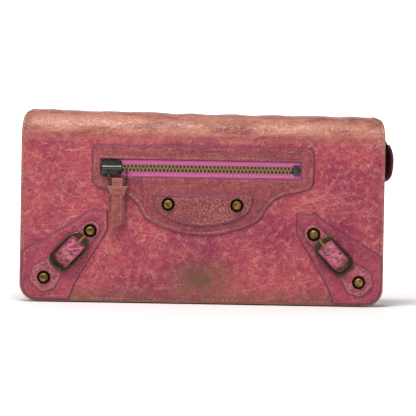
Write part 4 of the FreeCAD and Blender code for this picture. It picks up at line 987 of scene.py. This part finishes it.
def woven_tape(name, bright, shade):
    """Woven zip tape: fine ribs across and along, the dye a little darker between them."""
    tape = Finish(name)
    ribs = tape.node(
        "ShaderNodeTexWave", {"Vector": tape.place, "Scale": 420.0}, bands_direction="X"
    ).outputs["Fac"]
    rows = tape.node(
        "ShaderNodeTexWave", {"Vector": tape.place, "Scale": 420.0}, bands_direction="Z"
    ).outputs["Fac"]
    weave = tape.times(ribs, rows)
    soil = tape.between(tape.clouds(9 * MM, 4.0), 0.3, 0.7)
    colour = tape.colours(tape.times(weave, 0.5), shade, bright)
    colour = tape.colours(tape.times(soil, 0.25), colour, shade)
    return tape.done(colour, 0.75, tape.raised(weave, 0.12 * MM), Sheen_Weight=0.3)


pink_tape = woven_tape("pink_zip_tape", dyed(238, 128, 196), dyed(196, 92, 148))
finish_nodes(pink_tape, "flap_zip_tape_upper", "flap_zip_tape_lower")
tooth_brass = aged_brass("tooth_brass", dyed(176, 138, 96), dyed(62, 42, 32), 0.6, 0.3)
finish_nodes(tooth_brass, "flap_zip_teeth_upper", "flap_zip_teeth_lower")
gunmetal = aged_brass("gunmetal", dyed(84, 84, 80), dyed(26, 26, 25), 0.3, 0.2)
finish_nodes(aged_brass("ring_bronze", dyed(120, 100, 76), dyed(44, 34, 28), 0.6, 0.28), "flap_zip_ring")
# The cord under the teeth is dyed near black, so that it also stands for the shade in the gaps between the
# teeth: painted shade.
cord_dark_and_shade = woven_tape("zip_cord_dark_and_shade", dyed(58, 30, 44), dyed(24, 12, 18))
teeth_low, teeth_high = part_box("flap_zip_teeth_lower")[0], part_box("flap_zip_teeth_upper")[1]


def zip_cord():
    """The cord that the teeth are crimped on, near black as painted shade between the teeth: a flat oval
    section carried along the middle of the zip, a little narrower than the teeth."""
    along = np.linspace(teeth_low.x - 4 * MM, teeth_high.x + 1.5 * MM, 160)[:, None]
    turn = np.linspace(0, 2 * math.pi, 10, endpoint=False)[None, :]
    y = teeth_low.y + 0.5 * MM + 0.28 * MM * np.sin(turn) + 0 * along
    z = (teeth_low.z + teeth_high.z) / 2 + 1.75 * MM * np.cos(turn) + 0 * along
    points = np.stack([along + 0 * turn, y, z], -1)
    return mesh_piece("zip_cord", points.reshape(-1, 3), capped_rod(points), cord_dark_and_shade)


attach(zip_cord(), "flap")


def softened(node, name, body, material, rounding, segments=3):
    """A copy of a CAD node with its loose triangles joined and its edges rounded off, to stand for it."""
    mesh = nodes[node].data.copy()
    work = bmesh.new()
    work.from_mesh(mesh)
    bmesh.ops.remove_doubles(work, verts=work.verts, dist=0.002 * MM)
    bmesh.ops.dissolve_limit(work, angle_limit=math.radians(1), verts=work.verts, edges=work.edges)
    work.to_mesh(mesh)
    work.free()
    mesh.name = name
    mesh.materials.clear()
    mesh.materials.append(material)
    mesh.shade_smooth()
    piece = bpy.data.objects.new(name, mesh)
    bpy.context.scene.collection.objects.link(piece)
    bevel = piece.modifiers.new("rounded edges", "BEVEL")
    bevel.width, bevel.segments, bevel.limit_method = rounding, segments, "ANGLE"
    bevel.angle_limit = math.radians(35)
    bevel.harden_normals = True
    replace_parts(piece, node)
    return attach(piece, body)


softened("flap_zip_slider", "slider_body", "flap_slider", gunmetal, 0.55 * MM, 4)


def slider_barrel():
    """The barrel that the ring turns in: a round section carried along the ring's axis, its two ends
    dished in along a quarter circle."""
    slider_low, slider_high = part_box("flap_zip_slider")
    ring_low, ring_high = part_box("flap_zip_ring")
    radius = 1.45 * MM
    rounding = np.linspace(0, math.pi / 2, 7)
    ends = 0.9 * MM * (1 - np.sin(rounding))
    x = np.concatenate([slider_low.x + 0.4 * MM + ends, slider_high.x - 0.4 * MM - ends[::-1]])[:, None]
    share = np.sqrt(1 - 0.9 * (np.concatenate([ends, ends[::-1]]) / (0.9 * MM)) ** 2)[:, None]
    turn = np.linspace(0, 2 * math.pi, 28, endpoint=False)[None, :]
    y = (ring_low.y + ring_high.y) / 2 - radius * share * np.cos(turn)
    z = ring_high.z - 0.5 * MM + radius * share * np.sin(turn)
    points = np.stack([x + 0 * turn, y, z], -1)
    return mesh_piece("slider_barrel", points.reshape(-1, 3), capped_rod(points), gunmetal)


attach(slider_barrel(), "flap_slider")
softened("flap_zip_stop", "zip_end_stop", "flap", gunmetal, 0.25 * MM)

# The pull: a narrow strap of skin folded through the ring and held in a flared leather keeper, its
# two ends hanging side by side and cut on a slant. The cut edges are painted olive.
pull_leather = glazed_lambskin(
    "pull_lambskin", dyed(158, 78, 74), dyed(120, 48, 54), dyed(176, 106, 92), 0.4, gloss=0.36
)
keeper_low, keeper_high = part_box("pull_keeper")
pull_low, pull_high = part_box("pull_strap")
pull_middle = (pull_low.x + pull_high.x) / 2


def pull_piece(name, foot, head, left, right, front, depth, bow, material, painted_top=0.0, body="flap_pull"):
    """A short band hanging from the ring: columns across between two side lines, rows between a foot
    and a head line, bowed forward in the middle and rounded off at its edges."""
    share = close_at_edges(0, 7 * MM, 0.6 * MM)[None, :] / (7 * MM)
    rise = close_at_edges(0, 12 * MM, 0.6 * MM)[:, None] / (12 * MM)
    x = left(rise) + (right(rise) - left(rise)) * share
    z = foot(share) + (head(share) - foot(share)) * rise
    rim = np.concatenate([
        np.stack([x[0], z[0]], -1), np.stack([x[:, -1], z[:, -1]], -1), np.stack([x[-1], z[-1]], -1)[::-1],
        np.stack([x[:, 0], z[:, 0]], -1)[::-1],
    ])
    edge = distance_to(rim, x, z)
    off = rounded_off(edge, depth / 2)
    y = front - bow * np.sin(math.pi * share) + 0 * z
    face = np.stack([x, y + off, z], -1)
    reverse = np.stack([x, y + depth - off, z], -1)
    painted = painted_top * np.exp(-(((head(share) - z) / (0.9 * MM)) ** 4))
    painted = np.clip(painted + 0.8 * bell(edge, 0.35 * MM), 0, 1)
    groove = {"painted": painted, "rubbed": 0.25 * bell(edge - 1.2 * MM, 0.5 * MM)}
    piece = closed_skin(name, face, reverse, material, shares=groove)
    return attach(piece, body)


def level(value):
    """The same value all along an edge."""
    return lambda share: value + 0 * share


def sloping(start, end):
    """An edge that runs straight from start to end."""
    return lambda share: start + (end - start) * share


pull_tail = pull_piece(
    "pull_tail", sloping(pull_low.z - 1.2 * MM, pull_low.z + 2.0 * MM), level(keeper_low.z + 3 * MM),
    sloping(pull_low.x + 0.1 * MM, pull_low.x + 0.3 * MM),
    sloping(pull_high.x - 0.1 * MM, pull_high.x - 0.5 * MM), pull_low.y, pull_high.y - pull_low.y, 0.15 * MM,
    pull_leather,
)
pull_piece(
    "pull_tail_under", sloping(pull_low.z + 1.0 * MM, pull_low.z + 2.6 * MM), level(keeper_low.z + 3 * MM),
    level(pull_middle), sloping(pull_high.x + 0.9 * MM, pull_high.x - 0.1 * MM), pull_low.y + 0.75 * MM,
    0.8 * MM, 0.0, pull_leather,
)
keeper_mid = (keeper_low.x + keeper_high.x) / 2
keeper = pull_piece(
    "pull_keeper_loop",
    lambda share: keeper_low.z + 0.5 * MM * np.sin(math.pi * share),
    lambda share: keeper_high.z - (1.5 + 0.5 * np.sin(math.pi * share)) * MM,
    lambda rise: keeper_mid - (4.1 + 2.1 * rise**1.4) * MM,
    lambda rise: keeper_mid + (4.1 + 2.1 * rise**1.4) * MM,
    keeper_low.y + 0.35 * MM, 1.9 * MM, 0.45 * MM, pull_leather, 0.5,
)
pull_piece(
    "pull_fold", level(keeper_high.z - 2.6 * MM), level(keeper_high.z + 2.4 * MM),
    level(pull_low.x + 0.4 * MM), level(pull_high.x - 0.4 * MM), keeper_low.y + 0.6 * MM, 1.4 * MM, 0.1 * MM,
    pull_leather, body="flap_ring",
)
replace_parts(pull_tail, "pull_strap")
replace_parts(keeper, "pull_keeper")

# ---------------------------------------------------------------------------
# The inside: linings, pocket walls and card tiers of thin, smooth skin, pocket cloth behind the
# zip, and a coin compartment closed by its own zip.


def lining_skin(name, dye, deep):
    """Lining skin: thin, smooth and little worn, with a fine even grain and faint fold lines."""
    skin = Finish(name)
    cloud = skin.between(skin.clouds(26 * MM, 4.0), 0.35, 0.65)
    colour = skin.colours(cloud, deep, dye)
    grain = skin.between(skin.pebbles(0.9 * MM), 0.0, 0.9, 1.0, 0.0)
    lines = skin.between(skin.cracks(7 * MM, skin.warped(skin.place, 6 * MM, 4 * MM)), 0.0, 0.06, 1.0, 0.0)
    colour = skin.colours(skin.times(lines, 0.25), colour, dye)
    return skin.done(colour, 0.5, skin.raised(lines, -0.08 * MM, skin.raised(grain, 0.06 * MM)))


def twill_cloth(name, dye, shade):
    """Pocket cloth: a fine twill, its ribs on a slant."""
    cloth = Finish(name)
    ribs = cloth.node(
        "ShaderNodeTexWave", {"Vector": cloth.turned(45, (1, 1, 1)), "Scale": 300.0}
    ).outputs["Fac"]
    colour = cloth.colours(cloth.times(ribs, 0.5), shade, dye)
    return cloth.done(colour, 0.85, cloth.raised(ribs, 0.1 * MM), Sheen_Weight=0.2)


lining = lining_skin("lining_lambskin", dyed(176, 84, 104), dyed(150, 60, 86))
card_skin = lining_skin("card_lambskin", dyed(186, 90, 110), dyed(156, 64, 90))
finish_nodes(twill_cloth("pocket_twill", dyed(120, 60, 76), dyed(84, 40, 54)), "zip_pocket_cloth")
finish_nodes(pink_tape, "coin_zip_tape_front", "coin_zip_tape_rear")
finish_nodes(tooth_brass, "coin_zip_teeth_front", "coin_zip_teeth_rear")
finish_nodes(gunmetal, "snap_stud", "snap_socket")
softened("coin_zip_slider", "coin_slider_body", "coin_slider", gunmetal, 0.2 * MM)
softened("coin_zip_pull", "coin_pull_tab", "coin_pull", gunmetal, 0.2 * MM)
softened("coin_zip_stop", "coin_end_stop", "root", gunmetal, 0.2 * MM)


def pocket_panel(node, name, body, material, corner, hem=0.0, seams=()):
    """A flat wall or card tier cut from lining skin: a grid over the CAD piece's own width and height,
    its lower corners rounded, its edges turned over and its faces faintly hollowed. A stitched hem
    runs `hem` below its top, and further seams run up it at the places in `seams`."""
    low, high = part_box(node)
    across = close_at_edges(low.x, high.x, 2.4 * MM)[None, :] / high.x
    up = close_at_edges(low.z, high.z, 2.4 * MM)[:, None]
    foot = np.clip(corner - (up - low.z), 0, corner)
    half = high.x - (corner - np.sqrt(corner**2 - foot**2))
    x, z = across * half, up + 0 * across
    edge = np.minimum(np.minimum(half - np.abs(x), z - low.z), high.z - z)
    half_depth_here = (high.y - low.y) / 2
    off = rounded_off(edge, half_depth_here)
    hollow = 0.12 * MM * (
        1 + np.sin(x / (11 * MM) + 1.7 * np.sin(z / (17 * MM)))
    ) / 2 * np.clip(edge / (5 * MM), 0, 1)
    hollow = np.minimum(hollow, half_depth_here * 0.5)
    turned = 0.5 * half_depth_here * bell(high.z - z - hem, 0.5 * MM) if hem else 0.0
    face = np.stack([x, low.y + off + hollow + turned, z], -1)
    reverse = np.stack([x, high.y - off, z], -1)
    shares = {"rubbed": 0.5 * np.exp(-edge / (0.8 * MM)), "grime_and_shade": 0.3 * np.exp(-edge / (4 * MM))}
    pieces = [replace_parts(closed_skin(name, face, reverse, material, shares=shares), node)]
    runs = [np.array([(low.x + 3 * MM, high.z - hem), (high.x - 3 * MM, high.z - hem)])] if hem else []
    runs += [np.array([(place, low.z + 3 * MM), (place, high.z - 4 * MM)]) for place in seams]
    for number, run in enumerate(runs):
        places, ahead = evenly(run, STITCH_PITCH)
        depth = np.full(len(places), low.y + 0.05 * MM)
        pieces.append(facing_stitches(f"{name}_stitches_{number}", places, ahead, depth))
    for piece in pieces:
        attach(piece, body)


for tier, seams in ((1, ()), (2, ()), (3, ()), (4, (0.0,))):
    pocket_panel(
        f"card_tier_{tier}", f"card_pocket_{tier}", "root", card_skin, 2 * MM, 1.6 * MM, seams
    )
for node, name, body in (
    ("body_front_panel", "card_backing", "root"), ("coin_wall_front", "coin_wall_skin_front", "root"),
    ("coin_wall_rear", "coin_wall_skin_rear", "root"), ("back_lining", "back_lining_skin", "root"),
):
    pocket_panel(node, name, body, lining, 8 * MM, 1.6 * MM)
softened("flap_lining", "flap_lining_skin", "flap", lining, 0.2 * MM)
softened("body_base", "base_skin", "root", lining, 0.4 * MM)


def folded_gusset(node, name, way):
    """One bellows side: a band that runs in from one wall to a soft fold and out to the next, the
    fold a little deeper towards the top, with its thickness square to the side."""
    low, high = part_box(node)
    across = np.linspace(0, 1, 25)[None, :]
    up = np.linspace(low.z, high.z, 30)[:, None]
    inward = (high.x - low.x) - 0.9 * MM
    tent = 1 - np.sqrt((2 * across - 1) ** 2 + 0.02) / math.sqrt(1.02)
    deeper = 0.86 + 0.12 * (up - low.z) / (high.z - low.z)
    edge = max(abs(low.x), abs(high.x))
    x = edge - 0.45 * MM - inward * tent * deeper
    y = low.y + (high.y - low.y) * across + 0 * up
    z = up + 0 * across
    half = 0.4 * MM
    outer, inner = np.stack([(x + half) * way, y, z], -1), np.stack([(x - half) * way, y, z], -1)
    fold = {"rubbed": 0.5 * bell(2 * across - 1, 0.12) + 0 * up, "grime_and_shade": 0.25 + 0 * x}
    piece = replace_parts(closed_skin(name, outer, inner, lining, shares=fold), node)
    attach(piece, "root")


for side, way in (("left", -1), ("right", 1)):
    for pocket in ("bill_gusset_front", "coin_gusset", "bill_gusset_rear"):
        folded_gusset(f"{pocket}_{side}", f"{pocket}_bellows_{side}", way)


def spine_lining_skin():
    """The lining inside the fold: half a round under the cover's own, a little narrower."""
    low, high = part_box("spine_lining")
    turn = np.linspace(0.02, math.pi - 0.02, 44)[:, None]
    share = close_at_edges(-high.x, high.x, 3 * MM)[None, :] / high.x
    half = high.x - 3.2 * MM * np.sin(turn) ** 8
    outer_radius, inner_radius = high.y - 0.03 * MM, high.y - 0.6 * MM
    x = share * half
    grids = [
        np.stack([x, radius * np.cos(turn) + 0 * x, fold_height + radius * np.sin(turn) + 0 * x], -1)
        for radius in (outer_radius, inner_radius)
    ]
    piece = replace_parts(closed_skin("spine_lining_skin", *grids, lining), "spine_lining")
    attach(piece, "spine")


spine_lining_skin()

# ---------------------------------------------------------------------------
# The tail of the coin zip: both tapes run on past the side of the wallet, where they are sewn into
# a folded tab of skin that hangs at the right.
tail_dark = woven_tape("tail_tape_olive", dyed(78, 60, 42), dyed(40, 28, 20))
softened("tail_tape_inner", "tail_tape_root", "root", tail_dark, 0.12 * MM)
softened("tail_tape_outer", "tail_tape_end", "zip_tail", tail_dark, 0.12 * MM)
tab_skin = glazed_lambskin("tab_lambskin", dyed(142, 46, 92), dyed(96, 26, 60), dyed(162, 80, 98), 0.3)
# The tab's inner layer is dyed near black as painted shade: it lies in the shadow inside the fold of the tab.
tab_lining_painted_shade = lining_skin("tab_lining_painted_shade", dyed(52, 12, 22), dyed(22, 4, 8))
tab_low, tab_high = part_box("tail_tab")


def tail_layer(name, outside, thickness, material, grow):
    """One layer of the folded tab: its side line bulges out and comes back in below, carried across
    the tab's width on a slant, so that its inner side shows beyond the wallet; rounded at the foot."""
    foot, head = tab_low.z - 0.4 * MM - grow, tab_high.z + 0.6 * MM
    share = close_at_edges(0, 9 * MM, 0.7 * MM)[None, :] / (9 * MM)
    rise = close_at_edges(0, head - foot, 0.7 * MM)[:, None] / (head - foot)
    side_line = np.interp(
        rise, (0, 0.03, 0.08, 0.2, 0.4, 0.6, 0.75, 0.88, 1),
        (-3.2, -2.3, -1.6, -0.7, -0.15, 0, -0.4, -1.2, -2.4),
    )
    y = tab_low.y + (tab_high.y - tab_low.y) * share + 0 * rise
    slant = 3.2 * MM * share
    x = tab_high.x + side_line * MM - slant - outside
    z = foot + (head - foot) * rise + 1.6 * MM * (2 * share - 1) ** 4 * (1 - rise) ** 6
    edge = np.minimum(np.minimum(share, 1 - share) * 9 * MM, rise * (head - foot))
    off = rounded_off(edge, thickness / 2)
    right, left = np.stack([x - off, y, z], -1), np.stack([x - thickness + off, y, z], -1)
    shares = {"rubbed": 0.3 * np.exp(-edge / (0.5 * MM)), "ink_and_shade": 0.3 * np.exp(-edge / (0.4 * MM))}
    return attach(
        closed_skin(name, right, left, material, shares=shares), "zip_tail"
    )


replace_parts(tail_layer("tail_tab_outer", 0.0, 1.3 * MM, tab_skin, 0.0), "tail_tab")
# The inner layer, near black as painted shade.
tail_layer("tail_tab_lining", 1.3 * MM, 0.9 * MM, tab_lining_painted_shade, -0.6 * MM)

# ---------------------------------------------------------------------------
# The studio: a pale floor with a wide backdrop, a soft overhead light that draws the line of shine
# along the fold, a front light from the left, a weak one from the right and one on the backdrop.
def pale_paper(name):
    """Matt paper, with the faintest cloud in it."""
    paper = Finish(name)
    cloud = paper.between(paper.clouds(0.2, 2.0), 0.3, 0.7)
    colour = paper.colours(cloud, dyed(244, 243, 242), dyed(247, 246, 245))
    return paper.done(colour, 0.9)


def floor_sweep(reach, back, rise, bend):
    """Floor and backdrop as one sheet: flat from the front, a quarter circle at the back, then up."""
    turn = np.linspace(0, math.pi / 2, 16)
    y = np.concatenate([[-reach], back + bend * np.sin(turn), [back + bend]])
    z = np.concatenate([[0], bend * (1 - np.cos(turn)), [rise]]) - 0.05 * MM
    across = np.array([-reach, reach])
    points = np.stack(np.broadcast_arrays(across[None, :], y[:, None], z[:, None]), -1)
    index = np.arange(points.shape[0] * 2).reshape(-1, 2)
    quads = np.stack([index[:-1, 0], index[:-1, 1], index[1:, 1], index[1:, 0]], -1)
    return mesh_piece("floor_sweep", points.reshape(-1, 3), quads, pale_paper("pale_paper"))


floor_sweep(reach=3.0, back=0.9, rise=2.5, bend=0.5)


def softbox(name, place, target, size, watts):
    """A square soft light at a place, turned to a target."""
    lamp = bpy.data.lights.new(name, "AREA")
    lamp.shape, lamp.size, lamp.energy = "SQUARE", size, watts
    light = bpy.data.objects.new(name, lamp)
    light.location = place
    light.rotation_euler = (Vector(target) - Vector(place)).to_track_quat("-Z", "Y").to_euler()
    bpy.context.scene.collection.objects.link(light)


softbox("overhead_softbox", (-0.1, -0.42, 0.95), (0, 0, 0.06), 0.32, 6.8)
softbox("front_softbox", (-0.7, -1.0, 0.95), (0, 0, 0.05), 0.45, 6.5)
softbox("right_softbox", (0.9, -0.9, 0.5), (0, 0, 0.05), 0.6, 1.8)
softbox("backdrop_softbox", (0.0, 0.6, 0.95), (0, 1.4, 0.45), 0.6, 14)
world = bpy.data.worlds.new("studio_air")
world.use_nodes = True
world.node_tree.nodes["Background"].inputs["Color"].default_value = (1.0, 1.0, 1.0, 1)
world.node_tree.nodes["Background"].inputs["Strength"].default_value = 0.3
bpy.context.scene.world = world
bpy.context.scene.view_settings.view_transform = "Standard"

# The camera: level with the wallet's middle and 2 degrees above it, from far off through a long
# lens, turned a degree about its own axis.
view_middle = Vector((3.0 * MM, -half_depth, 51.8 * MM))
view_distance = 1.6
view_rise = math.radians(2.0)
view_roll = math.radians(1.0)
view_span = 222.9 * MM
camera_data = bpy.data.cameras.new("front_camera")
camera_data.angle = 2 * math.atan(view_span / 2 / view_distance)
camera = bpy.data.objects.new("front_camera", camera_data)
sight = Vector((0, math.cos(view_rise), -math.sin(view_rise)))
camera.location = view_middle - sight * view_distance
camera.rotation_euler = (
    sight.to_track_quat("-Z", "Y").to_matrix() @ Matrix.Rotation(view_roll, 3, "Z")
).to_euler()
bpy.context.scene.collection.objects.link(camera)
bpy.context.scene.camera = camera
